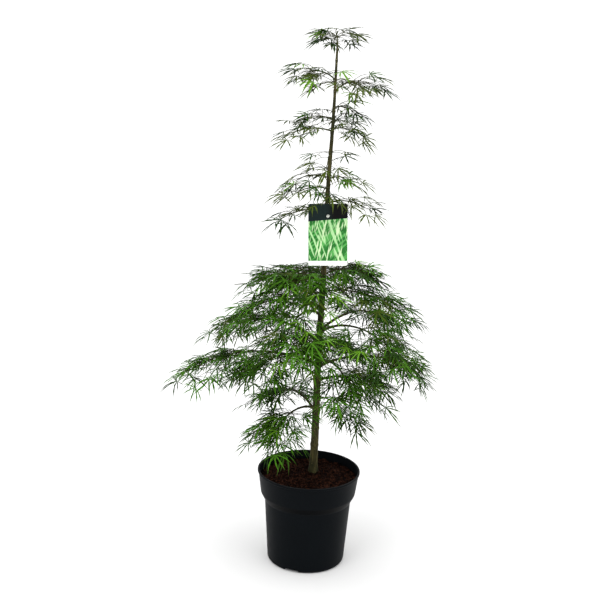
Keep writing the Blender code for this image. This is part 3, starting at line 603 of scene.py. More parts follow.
def living_leaf(name, base):
    """A thin living leaf: satin on top, a paler midrib, and tips that turn bronze.

    The run map has the place across the lobe, with the midrib at a half, and along it from hub to tip.
    """
    material, tree, shader = new_finish("living_leaf_" + name)
    patches = {"Vector": add_node(tree, "TexCoord"), "Scale": 30.0, "Detail": 3.0}
    patches = add_node(tree, "TexNoise", patches)
    light = shaded(base, LEAF_LIGHT, LEAF_BLOOM)
    colour = add_node(tree, "Mix", {FACTOR: patches, FIRST: shaded(base, LEAF_DARK), SECOND: light},
                      data_type="RGBA")
    run = add_node(tree, "UVMap", uv_map="run")
    run = add_node(tree, "SeparateXYZ", {"Vector": run}).outputs
    away = add_node(tree, "Math", {0: run["X"], 1: 0.5}, operation="SUBTRACT")
    away = add_node(tree, "Math", {0: away}, operation="ABSOLUTE")
    rib = add_node(tree, "ValToRGB", {"Fac": away}, ((0.0, linear("#9a9a9a")), (0.12, BLACK)))
    colour = add_node(tree, "Mix", {FACTOR: rib, FIRST: colour, SECOND: light}, data_type="RGBA")
    tip = add_node(tree, "ValToRGB", {"Fac": run["Y"]}, ((0.78, BLACK), (1.0, linear("#b0b0b0"))))
    colour = add_node(tree, "Mix", {FACTOR: tip, FIRST: colour, SECOND: linear("#4a3a26")},
                      data_type="RGBA")
    fill_inputs(tree, shader, {"Base Color": colour,
                               "Roughness": 0.55, "IOR": 1.42, "Specular IOR Level": 0.06})
    return material


def printed_card(band, pale, green):
    """Printed polypropylene card, satin: a dark band, upright blades of green below it, a pale foot.

    The pattern reads the card's own plane, across and up from its hole, and the back is plain white.
    Each blade is some 5 mm wide and ten times as long. The band's lower edge slopes across the card.
    """
    material, tree, shader = new_finish("printed_card")
    hole = label_centre()
    plane = {"Vector": add_node(tree, "TexCoord"), "Center": hole, "Axis": (0.0, 1.0, 0.0),
             "Angle": math.radians(-LABEL_TILT)}
    plane = add_node(tree, "VectorRotate", plane, rotation_type="AXIS_ANGLE")
    plane = add_node(tree, "VectorMath", {0: plane, 1: hole}, operation="SUBTRACT")
    axes = add_node(tree, "SeparateXYZ", {"Vector": plane}).outputs
    across, back, up = axes["X"], axes["Y"], axes["Z"]

    shadows = add_node(tree, "TexNoise", {"Vector": plane, "Scale": 45.0, "Detail": 3.0})
    shadows = add_node(tree, "MapRange", {"Value": shadows, "To Min": 0.1, "To Max": 0.9})
    colour = add_node(tree, "Mix", {FACTOR: shadows, FIRST: linear("#0f4a1a"), SECOND: green},
                      data_type="RGBA")
    for (lean, scale, start), shade in zip(BLADES, (linear("#4f9a4c"), pale, linear("#c4dcae"))):
        leaning = {"Vector": plane, "Rotation": (0.0, lean, 0.0),
                   "Scale": (1 / scale, 1.0, BLADE_STRETCH / scale)}
        leaning = add_node(tree, "Mapping", leaning, vector_type="TEXTURE")
        blades = add_node(tree, "TexNoise", {"Vector": leaning, "Scale": 1.0, "Detail": 2.0})
        blades = add_node(tree, "ValToRGB", {"Fac": blades},
                          ((start, BLACK), (start + BLADE_EDGE, WHITE)))
        colour = add_node(tree, "Mix", {FACTOR: blades, FIRST: colour, SECOND: shade}, data_type="RGBA")

    fade = {"Value": across, "From Min": BAND_FADE[0], "From Max": BAND_FADE[1]}
    fade = add_node(tree, "MapRange", fade)
    band = add_node(tree, "Mix", {FACTOR: fade, FIRST: band, SECOND: linear("#010202")},
                    data_type="RGBA")
    edge = add_node(tree, "Math", {0: across, 1: BAND_SLOPE, 2: BAND_EDGE}, operation="MULTIPLY_ADD")
    for value, limit, test, shade in (
            (up, edge, "GREATER_THAN", band),
            (up, FOOT_EDGE, "LESS_THAN", linear("#f4f7f0")),
            (back, LABEL_THICKNESS / 4, "GREATER_THAN", linear("#f0f1ec")),
    ):
        part = add_node(tree, "Math", {0: value, 1: limit}, operation=test)
        colour = add_node(tree, "Mix", {FACTOR: part, FIRST: colour, SECOND: shade}, data_type="RGBA")
    fill_inputs(tree, shader, {"Base Color": colour,
                               "Roughness": 0.4, "IOR": 1.49, "Specular IOR Level": 0.1})
    return material


def white_string(base):
    """White string and its moulded bead: matt, with a twist about 1 mm long."""
    material, tree, shader = new_finish("white_string")
    turned = {"Vector": add_node(tree, "TexCoord"), "Rotation": (0.6, 0.0, 0.4)}
    turned = add_node(tree, "Mapping", turned)
    twist = add_node(tree, "TexNoise", {"Vector": turned, "Scale": 900.0, "Detail": 2.0})
    colour = add_node(tree, "Mix", {FACTOR: twist, FIRST: base, SECOND: linear("#b9b9b0")},
                      data_type="RGBA")
    relief = add_node(tree, "Bump", {"Height": twist, "Strength": 0.4, "Distance": 0.0003})
    fill_inputs(tree, shader, {"Base Color": colour, "Normal": relief, "Roughness": 0.7})
    return material


def pale_floor(base):
    """A plain matt pale floor."""
    material, tree, shader = new_finish("pale_floor")
    fill_inputs(tree, shader, {"Base Color": base, "Roughness": 0.95, "Specular IOR Level": 0.0})
    return material


# ------------------------------------------------------------------ growth, as in the plant's source
def trunk_share(height):
    """How far up the trunk a height is, from 0 at the compost to 1 at the tip."""
    return np.clip((height - COMPOST_TOP) / (TRUNK_TOP[2] - COMPOST_TOP), 0.0, 1.0)


def trunk_line(height):
    """The trunk's middle at each height: a straight lean, plus a sine wave, less half a sine of bow."""
    share = trunk_share(height)
    wander = TRUNK_WAVE * np.sin(share * TRUNK_WAVES * math.tau) - TRUNK_BOW * np.sin(share * math.pi)
    across = TRUNK_FOOT[0] + (TRUNK_TOP[0] - TRUNK_FOOT[0]) * share
    back = TRUNK_FOOT[1] + (TRUNK_TOP[1] - TRUNK_FOOT[1]) * share
    return np.stack([across + wander, back + wander * TRUNK_WANDER_BACK, height + share * 0.0], -1)


def trunk_radius(height):
    """The taper: the radius falls with the share of the height to a power."""
    fall = 1 - trunk_share(height) ** TRUNK_TAPER_POWER
    return TRUNK_TOP_RADIUS + (TRUNK_FOOT_RADIUS - TRUNK_TOP_RADIUS) * fall


def heading(azimuth, pitch):
    """Unit vector at an azimuth and at a pitch above level, both in degrees."""
    return Vector(headings(azimuth, pitch))


def arching_path(start, azimuth, length, rise, droop, sway, steps):
    """A limb that sets out at rise degrees above level and bends evenly to droop degrees below it."""
    points = [Vector(start)]
    for i in range(steps):
        share = (i + 0.5) / steps
        ahead = heading(azimuth + sway * share, rise - (rise + droop) * share)
        points.append(points[-1] + ahead * (length / steps))
    return points


def arc_length(reach, rise, droop):
    """The length of an evenly bending limb that reaches that far out."""
    up, down = math.radians(rise), math.radians(droop)
    return reach * (up + down) / (math.sin(up) + math.sin(down))


def limb_line(limb, seed, steps):
    """The line of a limb and the foliage that carries it on, from the middle of the trunk."""
    sway = random.Random(seed).uniform(-LIMB_SWAY, LIMB_SWAY)
    stem_reach = limb.reach - LEAF_REACH * math.cos(math.radians(limb.droop))
    length = arc_length(stem_reach, limb.rise, limb.droop)
    start = trunk_line(limb.height)
    return arching_path(start, limb.azimuth, length, limb.rise, limb.droop, sway, steps)


def by_height(height, low, high):
    """A value that changes evenly from the top of the skirt to the top of the crown."""
    share = (height - SKIRT_TOP) / (CROWN_TOP - SKIRT_TOP)
    return low + (high - low) * np.clip(share, 0.0, 1.0)


Leaf = namedtuple("Leaf", "root azimuth pitch stalk length roll")


def leaf_at(rng, root, azimuth, pitch):
    """A leaf with its own stalk length, size, pitch and roll."""
    stalk = by_height(root.z, STALK_LENGTH, TOP_STALK_LENGTH) * rng.uniform(*STALK_RANGE)
    length = by_height(root.z, LEAF_LENGTH, TOP_LEAF_LENGTH) * rng.uniform(*LEAF_RANGE)
    azimuth += rng.uniform(-AZIMUTH_STRAY, AZIMUTH_STRAY)
    pitch += rng.uniform(-PITCH_STRAY, PITCH_STRAY)
    return Leaf(root, azimuth, pitch, stalk, length, rng.uniform(-ROLL_STRAY, ROLL_STRAY))


def bearing(start, end):
    """The azimuth and the pitch, in degrees, of the line from one point to another."""
    step = end - start
    level = math.hypot(step.x, step.y)
    return math.degrees(math.atan2(step.y, step.x)), math.degrees(math.atan2(step.z, level))


def end_leaves(rng, line):
    """A leaf at the end of a shoot or stem, and a pair just before it."""
    azimuth, pitch = bearing(line[-2], line[-1])
    leaves = [leaf_at(rng, line[-1] - heading(azimuth, pitch) * ROOT_SINK, azimuth, pitch)]
    root = line[-2].lerp(line[-1], NODE_STEP)
    for side in (-1, 1):
        leaves.append(leaf_at(rng, root, azimuth + side * STALK_SPREAD, pitch / 2))
    return leaves


def shoots_at(rng, stem, joint, width):
    """The pair of shoots at a joint of a stem, or single leaves where a shoot would be too short."""
    azimuth, pitch = bearing(stem[joint - 1], stem[joint + 1])
    fullness = FULLNESS - FULLNESS_FADE * abs(joint / (len(stem) - 1) - FULLEST_SHARE)
    root = stem[joint].lerp(stem[joint + 1], NODE_STEP)
    growth = []
    for side in (-1, 1):
        spread = azimuth + side * SHOOT_SPREAD * rng.uniform(*SPREAD_RANGE)
        length = width * fullness * rng.uniform(*SHOOT_RANGE)
        if length < SHORT_SHOOT:
            growth.append((None, [leaf_at(rng, root, spread, pitch / 2 - SHOOT_LIFT)]))
            continue
        sway = rng.uniform(-SHOOT_SWAY, SHOOT_SWAY)
        lift = SHOOT_LIFT + rng.uniform(-LIFT_STRAY, LIFT_STRAY)
        shoot = arching_path(root, spread, length, pitch / 2 + lift, SHOOT_DROOP - pitch / 3,
                             sway, SHOOT_STEPS)
        growth.append((shoot, end_leaves(rng, shoot)))
    return growth


def grow_mass(rng, stem, width):
    """The source's growth of one mass, as a list of (shoot line or None, leaves)."""
    growth = []
    for joint in range(1, len(stem) - 2, 2):
        growth += shoots_at(rng, stem, joint, width)
    growth.append((None, end_leaves(rng, stem)))
    return growth


def fill_out(rng, stem, growth, width, fullness):
    """The source's growth with finer growth: shoots at the other joints, and leaves up each shoot."""
    finer = []
    for joint in range(2, len(stem) - 1, 2):
        finer += shoots_at(rng, stem, joint, width * fullness)
    for shoot, _ in growth:
        if shoot:
            azimuth, pitch = bearing(shoot[0], shoot[1])
            for share in SHOOT_JOINTS:
                root = shoot[0].lerp(shoot[1], share)
                finer.append((None, [leaf_at(rng, root, azimuth + side * STALK_SPREAD, pitch / 2)
                                     for side in (-1, 1)]))
    return growth + finer


def cover(rng, stem, shares):
    """Single leaves at shares of each joint along the top of a stem, so that it isn't bare above."""
    finer = []
    for joint in range(1, len(stem) - 1):
        azimuth, pitch = bearing(stem[joint - 1], stem[joint + 1])
        for share in shares:
            root = stem[joint].lerp(stem[joint + 1], share)
            turn = azimuth + rng.uniform(-TOP_SPREAD, TOP_SPREAD)
            finer.append((None, [leaf_at(rng, root, turn, min(pitch / 2 + TOP_LIFT, TOP_LIFT))]))
    return finer


def plant_stems():
    """Every stem with a mass, as limb, line, radius and seed, and every bough, as limb and line."""
    stems, boughs = [], []
    for seed, limb in enumerate(BOUGHS, BOUGH_SEED):
        line = limb_line(limb, seed, BOUGH_STEPS + STEM_STEPS)
        boughs.append((limb, line[:BOUGH_STEPS + 1]))
        stems.append((limb, line[BOUGH_STEPS:], BOUGH_TIP_RADIUS, seed))
    for seed, limb in enumerate(TRUNK_SPRAYS, SPRAY_SEED):
        stems.append((limb, limb_line(limb, seed, STEM_STEPS), SMALL_STEM_RADIUS, seed))
    start = Vector(TRUNK_TOP) + Vector((0.0, 0.0, CLEARANCE * 3))
    leader = arching_path(start, LEADER.azimuth, LEADER.reach, LEADER.rise, LEADER.droop, 0, STEM_STEPS)
    stems.append((LEADER, [Vector(TRUNK_TOP) - Vector((0.0, 0.0, ROOT_SINK))] + leader[1:],
                  SMALL_STEM_RADIUS, LEADER_SEED))
    return stems, boughs


# ------------------------------------------------------------------ leaves
def leaf_frames(leaves):
    """Arrays of the leaves' roots, hubs, forward, sideways and upward unit vectors, and lengths."""
    root = np.array([leaf.root for leaf in leaves])
    azimuth, pitch, stalk, length, roll = np.array([leaf[1:] for leaf in leaves]).T
    hub = root + headings(azimuth, pitch) * stalk[:, None]
    ahead = headings(azimuth, pitch * BLADE_LEVEL - by_height(root[:, 2], LEAF_DROP, TOP_LEAF_DROP))
    level = headings(azimuth + 90, np.zeros_like(azimuth))
    turn = np.radians(roll)[:, None]
    side = level * np.cos(turn) + np.cross(ahead, level) * np.sin(turn)
    return root, hub, ahead, side, np.cross(ahead, side), length


def leaf_points(leaves, settings, rng):
    """Points of every leaf, as an array of leaf, lobe, point and coordinate, and the leaves' midribs.

    A lobe's midrib runs from the hub along its own direction, and falls away by a share of the square
    of the distance. The edges stand off to each side by the lobe's half width, and a little above.
    """
    _, hub, ahead, side, above, length = leaf_frames(leaves)
    each = (len(leaves), len(LOBES))
    lobe_angle, lobe_share = np.array(LOBES).T
    angle = np.radians(lobe_angle) + rng.normal(0, math.radians(LOBE_STRAY), each)
    share = lobe_share * rng.uniform(*LOBE_RANGE, each)
    sag = by_height(hub[:, 2], settings.lobe_sag, settings.top_lobe_sag)[:, None]
    sag = sag * rng.uniform(*SAG_RANGE, each)
    width = by_height(hub[:, 2], settings.lobe_width, settings.top_lobe_width)[:, None, None, None]
    curl = settings.lobe_curl * rng.normal(0, 1, each)
    curl = curl - np.sin(angle) * settings.lobe_curl
    scale = by_height(hub[:, 2], settings.lobe_scale, settings.top_lobe_scale)[:, None]
    reach = length[:, None] * share * scale
    cosine, sine = np.cos(angle)[..., None], np.sin(angle)[..., None]
    along = cosine * ahead[:, None] + sine * side[:, None]
    beside = cosine * side[:, None] - sine * ahead[:, None]
    up = above[:, None, None, :]

    def at(distance, offset):
        """Points at those shares of each lobe's length, set to the side by those shares."""
        d, w = distance[:, None], offset[:, None]
        bend = w * width + curl[..., None, None] * d ** 2
        place = along[:, :, None] * d + beside[:, :, None] * bend
        place = place - up * settings.lobe_cup * share[..., None, None] * d ** 2
        place = place + up * np.abs(w) * settings.lobe_fold
        place = place - np.array([0.0, 0.0, 1.0]) * sag[..., None, None] * d ** 2
        return hub[:, None, None] + place * reach[..., None, None]

    rib, edge, half = np.array(LOBE_STATIONS).T
    middle = at(rib, np.zeros_like(half))
    left, right = at(edge, -half), at(edge, half)
    rows = np.stack([left, middle, right], axis=3)[:, :, :-1].reshape(*each, -1, 3)
    return np.concatenate([rows, middle[:, :, -1:]], axis=2), middle


def leaf_faces():
    """Quads and tip triangles of one lobe, and its run map."""
    rows = len(LOBE_STATIONS) - 1
    quads = grid_faces(rows, 3, closed=False)
    last = (rows - 1) * 3
    tip = last + 3
    triangles = np.array([(last, last + 1, tip), (last + 1, last + 2, tip)])
    along = np.repeat([station[0] for station in LOBE_STATIONS[:-1]], 3)
    across = np.tile([0.0, 0.5, 1.0], rows)
    run = np.concatenate([np.stack([across, along], -1), [[0.5, 1.0]]])
    return quads, triangles, run


def leaf_mesh(name, points):
    """One mesh of all the leaves whose points are given."""
    quads, triangles, run = leaf_faces()
    count, size = points.shape[0] * points.shape[1], points.shape[2]
    shift = (np.arange(count) * size)[:, None, None]
    return mesh_from(name, points, [(quads + shift).reshape(-1, 4), (triangles + shift).reshape(-1, 3)],
                     uv=np.tile(run, (count, 1)))


def has_room(ribs):
    """Which leaves keep off the trunk, the label, the pot and the compost, and near the plan's box."""
    flat = ribs.reshape(len(ribs), -1, 3)
    x, y, z = flat[..., 0], flat[..., 1], flat[..., 2]
    middle = trunk_line(z)
    off_trunk = np.hypot(x - middle[..., 0], y - middle[..., 1]) > trunk_radius(z) + TRUNK_ROOM
    off_trunk |= z > TRUNK_TOP[2]
    centre = label_centre()
    low, high = centre.z + HOLE_DROP - LABEL_HEIGHT - LABEL_ROOM, centre.z + LABEL_LEAF_TOP
    over_label = (np.abs(x - centre.x) < LABEL_WIDTH / 2 + LABEL_SIDE_ROOM) & (z > low) & (z < high)
    off_label = ~(over_label & (y < centre.y + LABEL_ROOM))
    rim = np.hypot(x, y)
    in_pot = (rim < RIM_RADIUS + WALL_ROOM) & (z < COMPOST_TOP + COMPOST_ROOM)
    in_wall = (rim > COLLAR_TOP_RADIUS - WALL_ROOM * 2) & (rim < RIM_RADIUS + WALL_ROOM)
    off_pot = ~in_pot & ~(in_wall & (z < POT_HEIGHT + COMPOST_ROOM))
    box = np.array(CAD_BOX)
    inside = np.all((flat > box[0] - BOX_ROOM) & (flat < box[1] + BOX_ROOM), axis=-1)
    return np.all(off_trunk & off_label & off_pot & inside, axis=-1)


def leaf_kind(rng, height, spread):
    """The green of one spray, drawn by its height and by its distance from the plant's axis."""
    if height > TOP_GREENS_ABOVE:
        weights = TOP_GREENS
    elif height > SHOULDER_GREENS_ABOVE:
        weights = SHOULDER_GREENS
    else:
        outer = min(1.0, spread / OUTER_DISTANCE)
        weights = [inner + change * outer for inner, change in zip(INNER_GREENS, OUTER_CHANGE)]
    return rng.choices(GREENS, weights)[0]


def label_centre():
    """The middle of the label's hole."""
    height = LABEL_TOP - HOLE_DROP
    trunk = trunk_line(height)
    return Vector((trunk[0] + LABEL_ASIDE, trunk[1] - LABEL_STANDOFF, height))


# ------------------------------------------------------------------ bark
# The trunk's tube: how far its foot is under the compost, its rings, and the points round each ring
TRUNK_SINK = 0.004
TRUNK_RINGS = 620
TRUNK_SIDES = 32
# Leaf joints on the trunk: start of their random draws, height above the compost where the spacing
# starts, its range, their number, and the power by which they shrink with the trunk's radius
JOINT_SEED = 61
JOINTS_START = 0.03
JOINT_SPACING = (0.022, 0.040)
JOINT_COUNT = 40
JOINT_POWER = 0.5
# Furrows: their number round the trunk, how far they sway and how fast along it in radians per metre,
# and how fast they come and go along it and round it
FURROWS = 7
FURROW_SWAY = 1.6
FURROW_SWAY_RATE = 60
FURROW_RATE = 95
FURROW_TURNS = 2
# A bough's tube: steps from one point of its line to the next, and sides
BOUGH_RING_STEPS = 14
BOUGH_SIDES = 12
# A bough's collar: how far it stands out, and the distance over which it fades. Then its joints: their
# share of the trunk's, the distance between them, and the power that makes them short.
COLLAR_SWELL = 0.0016
COLLAR_FADE = 0.012
BOUGH_JOINT_SHARE = 0.6
BOUGH_JOINT_STEP = 0.028
BOUGH_JOINT_POWER = 8


def trunk_surface(settings):
    """The trunk as a grid of rings: taper, ribbed root flare, swollen leaf joints and shallow furrows.

    Radius = taper + flare fading up from the foot + a swelling at each joint that falls off with the
    square of the distance + furrows, the product of a sine round the trunk and a slow sine up it.
    """
    foot = COMPOST_TOP - TRUNK_SINK
    height = foot + (TRUNK_TOP[2] - foot) * np.linspace(0, 1, TRUNK_RINGS)
    radius = trunk_radius(height)
    rng = np.random.default_rng(JOINT_SEED)
    joints = COMPOST_TOP + JOINTS_START + np.cumsum(rng.uniform(*JOINT_SPACING, JOINT_COUNT))
    near = (height[:, None] - joints) / settings.joint_length
    swell = settings.joint_swell * np.exp(-near ** 2).sum(axis=1)
    swell = swell * (radius / TRUNK_FOOT_RADIUS) ** JOINT_POWER
    turn = np.arange(TRUNK_SIDES) * math.tau / TRUNK_SIDES
    rib = 1 - FLARE_RIB + FLARE_RIB * np.cos(turn * FLARE_ROOTS)
    flare = FLARE_RADIUS * np.exp(-np.maximum(height - COMPOST_TOP, 0) / FLARE_FADE)
    sway = np.sin(height[:, None] * FURROW_SWAY_RATE) * FURROW_SWAY
    furrow = np.sin(turn * FURROWS + sway) * np.sin(height[:, None] * FURROW_RATE + turn * FURROW_TURNS)
    full = (radius + swell)[:, None] * (1 + settings.furrow_depth * furrow) + flare[:, None] * rib
    return swept(trunk_line(height)[None], full[None], TRUNK_SIDES, (1.0, 0.0, 0.0))


def bough_surface(limb, line, settings):
    """One bough: it tapers from a swollen collar at the trunk to its stem, with small joints.

    Radius = an even taper + a collar that fades with the square of the distance + a joint wherever a
    sine along the bough, raised to a high power, comes near one.
    """
    fine = smooth_line(line, BOUGH_RING_STEPS)
    share = np.linspace(0, 1, len(fine))
    chord = (line[-1] - line[0]).length
    foot = BOUGH_TIP_RADIUS + BOUGH_TAPER * chord
    radius = foot + (BOUGH_TIP_RADIUS - foot) * share
    collar = COLLAR_SWELL * np.exp(-(share * chord / COLLAR_FADE) ** 2)
    bump = np.maximum(0, np.sin(share * chord / BOUGH_JOINT_STEP * math.tau)) ** BOUGH_JOINT_POWER
    joint = settings.joint_swell * BOUGH_JOINT_SHARE * bump
    across = headings(limb.azimuth + 90, 0.0)
    return swept(fine[None], (radius + collar + joint)[None], BOUGH_SIDES, across)


class BarkSettings(bpy.types.PropertyGroup):
    """Sizes and colours of the bark."""

    joint_swell: number_property("Joint swelling", "How far each leaf joint stands out",
                                 0.0009, "LENGTH")
    joint_length: number_property("Joint length", "How far a joint's swelling reaches up and down",
                                  0.0030, "LENGTH")
    furrow_depth: number_property("Furrow depth", "Depth of the furrows as a share of the radius",
                                  0.045)
    dark: colour_property("Dark bark", "Colour in the furrows", "#12110a")
    light: colour_property("Light bark", "Colour on the ridges", "#675e37")


class MAPLE_OT_bark(bpy.types.Operator):
    """Builds the trunk and the boughs with their bark, in one piece"""

    bl_idname = "maple.bark"
    bl_label = "Trunk and boughs"

    def execute(self, context):
        settings = context.scene.maple_bark
        _, boughs = plant_stems()
        parts = [trunk_surface(settings)]
        parts += [bough_surface(limb, line, settings) for limb, line in boughs]
        points, quads, triangles = merged(parts)
        mesh = mesh_from("bark", points, [quads, triangles])
        finish = young_bark(rgba(settings.dark), rgba(settings.light))
        add_piece("bark", mesh, finish, LIMB_NODES)
        return {"FINISHED"}


# ------------------------------------------------------------------ twigs and leaves
class LeafSettings(bpy.types.PropertyGroup):
    """Sizes of the lobes, stalks and finer shoots, and the colours of leaves and twigs."""

    lobe_scale: number_property("Lobe length", "Middle lobe's length as a share of the solid leaf", 0.78)
    top_lobe_scale: number_property("Top lobe length", "The same share at the plant's top", 0.96)
    lobe_width: number_property("Lobe width", "Every lobe's width as a share of its usual width", 0.78)
    top_lobe_width: number_property("Top lobe width", "The same share at the plant's top", 1.0)
    lobe_sag: number_property("Lobe sag", "How far a lobe's tip hangs, as a share of its length", 0.16)
    top_lobe_sag: number_property("Top lobe sag", "The same share at the plant's top", 0.14)
    lobe_curl: number_property("Lobe curl", "How far lobes bend to a side, as a share of length", 0.15)
    lobe_cup: number_property("Lobe cup", "How far a lobe's tip bends down from the blade", 0.12)
    lobe_fold: number_property("Lobe fold", "How far a lobe's edges stand above its midrib", 0.45)
    shoot_fullness: number_property("Finer shoots", "Their length as a share of the main ones", 0.8)
    stalk_radius: number_property("Stalk radius", "Radius of a leaf stalk", 0.00045, "LENGTH")
    deep_green: colour_property("Deep green", "Shaded sprays inside the crown", "#142b03")
    mid_green: colour_property("Mid green", "Usual sprays", "#254406")
    fresh_green: colour_property("Fresh green", "Sprays of young leaves", "#355e0c")
    lime_green: colour_property("Lime green", "The palest sprays", "#4c7415")
    olive_green: colour_property("Olive green", "Sprays at the top of the plant", "#394610")
    green_twigs: colour_property("Green twigs", "The green parts of twigs and stalks", "#27310f")
    brown_twigs: colour_property("Brown twigs", "The brown parts of twigs and stalks", "#2c2812")
    seed: IntProperty(name="Seed", description="Start of the random growth", default=FINE_SEED)


def stem_parts(stems, growth_of):
    """Tubes of all stems and shoots."""
    parts = []
    for (limb, line, radius, _), growth in zip(stems, growth_of):
        fine = smooth_line(line, TWIG_STEPS)
        taper = np.linspace(radius, STEM_TIP_RADIUS, len(fine))
        parts.append(swept(fine[None], taper[None], STEM_SIDES, headings(limb.azimuth + 90, 0.0)))
        for shoot, _ in growth:
            if shoot:
                fine = smooth_line(shoot, TWIG_STEPS)
                taper = np.linspace(SHOOT_RADIUS, SHOOT_TIP_RADIUS, len(fine))
                azimuth, _ = bearing(shoot[0], shoot[-1])
                parts.append(swept(fine[None], taper[None], SHOOT_SIDES, headings(azimuth + 90, 0.0)))
    return parts


def stalk_part(leaves, radius):
    """Tubes of all leaf stalks: each bends up between twig and blade, by 4s(1 - s) of its arch."""
    root, hub, *_ = leaf_frames(leaves)
    share = np.linspace(0, 1, STALK_POINTS)[None, :, None]
    line = root[:, None] + (hub - root)[:, None] * share
    arch = STALK_ARCH * np.linalg.norm(hub - root, axis=1)[:, None, None]
    line = line + np.array([0.0, 0.0, 1.0]) * arch * share * (1 - share) * 4
    level = headings(np.array([leaf.azimuth for leaf in leaves]) + 90, np.zeros(len(leaves)))
    radii = np.broadcast_to(np.linspace(*STALK_TAPER, STALK_POINTS) * radius, line.shape[:2])
    return swept(line, radii, STALK_SIDES, level[:, None])


class MAPLE_OT_foliage(bpy.types.Operator):
    """Grows the twigs and leaves of every mass and joins them, each kind apart"""

    bl_idname = "maple.foliage"
    bl_label = "Twigs and leaves"

    def execute(self, context):
        settings = context.scene.maple_leaf
        stems, _ = plant_stems()
        growth_of, leaves, kinds, owners = [], [], [], []
        for limb, line, _, seed in stems:
            growth = grow_mass(random.Random(seed), line, limb.width)
            finer = random.Random(settings.seed + seed)
            if limb.height < FULL_BELOW or limb is LEADER:
                growth = fill_out(finer, line, growth, limb.width, settings.shoot_fullness)
                growth += cover(finer, line, STEM_JOINTS)
            elif not CROWDED_TIER[0] < limb.height < CROWDED_TIER[1]:
                growth += cover(finer, line, TOP_STEM_JOINTS)
            growth_of.append(growth)
            for _, spray in growth:
                root = spray[0].root
                kind = leaf_kind(finer, root.z, math.hypot(root.x, root.y))
                leaves += spray
                kinds += [kind] * len(spray)
                owners += ["foliage_" + limb.name] * len(spray)
        points, ribs = leaf_points(leaves, settings, np.random.default_rng(settings.seed))
        kept = has_room(ribs)
        kinds, owners = np.array(kinds), np.array(owners)
        for kind in GREENS:
            chosen = kept & (kinds == kind)
            mesh = leaf_mesh("leaves_" + kind, points[chosen])
            finish = living_leaf(kind, rgba(getattr(settings, kind)))
            add_piece("leaves_" + kind, mesh, finish, sorted(set(owners[chosen])))
        standing = [leaf for leaf, keep in zip(leaves, kept) if keep]
        twigs = stem_parts(stems, growth_of) + [stalk_part(standing, settings.stalk_radius)]
        points, quads, triangles = merged(twigs)
        mesh = mesh_from("twigs", points, [quads, triangles])
        finish = green_twig(rgba(settings.green_twigs), rgba(settings.brown_twigs))
        add_piece("twigs", mesh, finish, sorted(set(owners)))
        print("leaves", len(standing), "of", len(leaves))
        return {"FINISHED"}


# ------------------------------------------------------------------ label
class LabelSettings(bpy.types.PropertyGroup):
    """Colours of the label and its string."""

    band: colour_property("Band", "The dark band at the top", "#11201f")
    pale_blades: colour_property("Pale blades", "The palest blades of the pattern", "#a3cf93")
    green_field: colour_property("Green field", "The ground of the pattern", "#368638")
    string: colour_property("String", "The string and its bead", "#c3c7c2")


class MAPLE_OT_label(bpy.types.Operator):
    """Finishes the label's card, string and bead"""

    bl_idname = "maple.label"
    bl_label = "Label"

    def execute(self, context):
        settings = context.scene.maple_label
        card = printed_card(rgba(settings.band), rgba(settings.pale_blades), rgba(settings.green_field))
        dress("label_card", card)
        dress("label_tie", white_string(rgba(settings.string)))
        return {"FINISHED"}


# ------------------------------------------------------------------ pot
# Points of the quarter round at the heel
HEEL_POINTS = 9
# The profile's rounded corners: radius, points, and the largest share of a side that a corner takes
CORNER_RADIUS = 0.0011
CORNER_POINTS = 5
CORNER_SHARE = 0.45
# How far below the collar's foot the crease is deepest, and how far above it the crease has ended
CREASE_BELOW = 0.0012
CREASE_ABOVE = 0.0010
LIP_BEVEL = 0.0008
INNER_LEDGE = 0.004
# A notch's inner wall leans out by this much, and each of its side walls takes up this many degrees
NOTCH_WALL_LEAN = 0.0002
NOTCH_SIDE_ANGLE = 0.15
ANGLE_TOLERANCE = 0.01
# Edges sharper than this many degrees are shown sharp
SHARP_ANGLE = 40


class PotSettings(bpy.types.PropertyGroup):
    """Sizes and colour of the pot."""

    sides: IntProperty(name="Sides", description="Steps round the pot", default=168)
    crease: number_property("Crease", "Depth of the crease under the collar", 0.0006, "LENGTH")
    plastic: colour_property("Plastic", "Colour of the pot", "#040608")


def rounded(profile):
    """A profile whose inner corners are curves: the corner + (a - corner)(1 - s)^2 + (c - corner)s^2.

    There s goes from 0 to 1, and a and c are the points on both sides where the rounding starts.
    """
    profile = np.array(profile)
    points = [profile[0]]
    for before, corner, after in zip(profile, profile[1:], profile[2:]):
        back, on = np.linalg.norm(before - corner), np.linalg.norm(after - corner)
        reach = min(CORNER_RADIUS, back * CORNER_SHARE, on * CORNER_SHARE)
        start, end = (before - corner) / back * reach, (after - corner) / on * reach
        for s in np.linspace(0, 1, CORNER_POINTS):
            points.append(corner + start * (1 - s) ** 2 + end * s ** 2)
    return np.array([*points, profile[-1]])


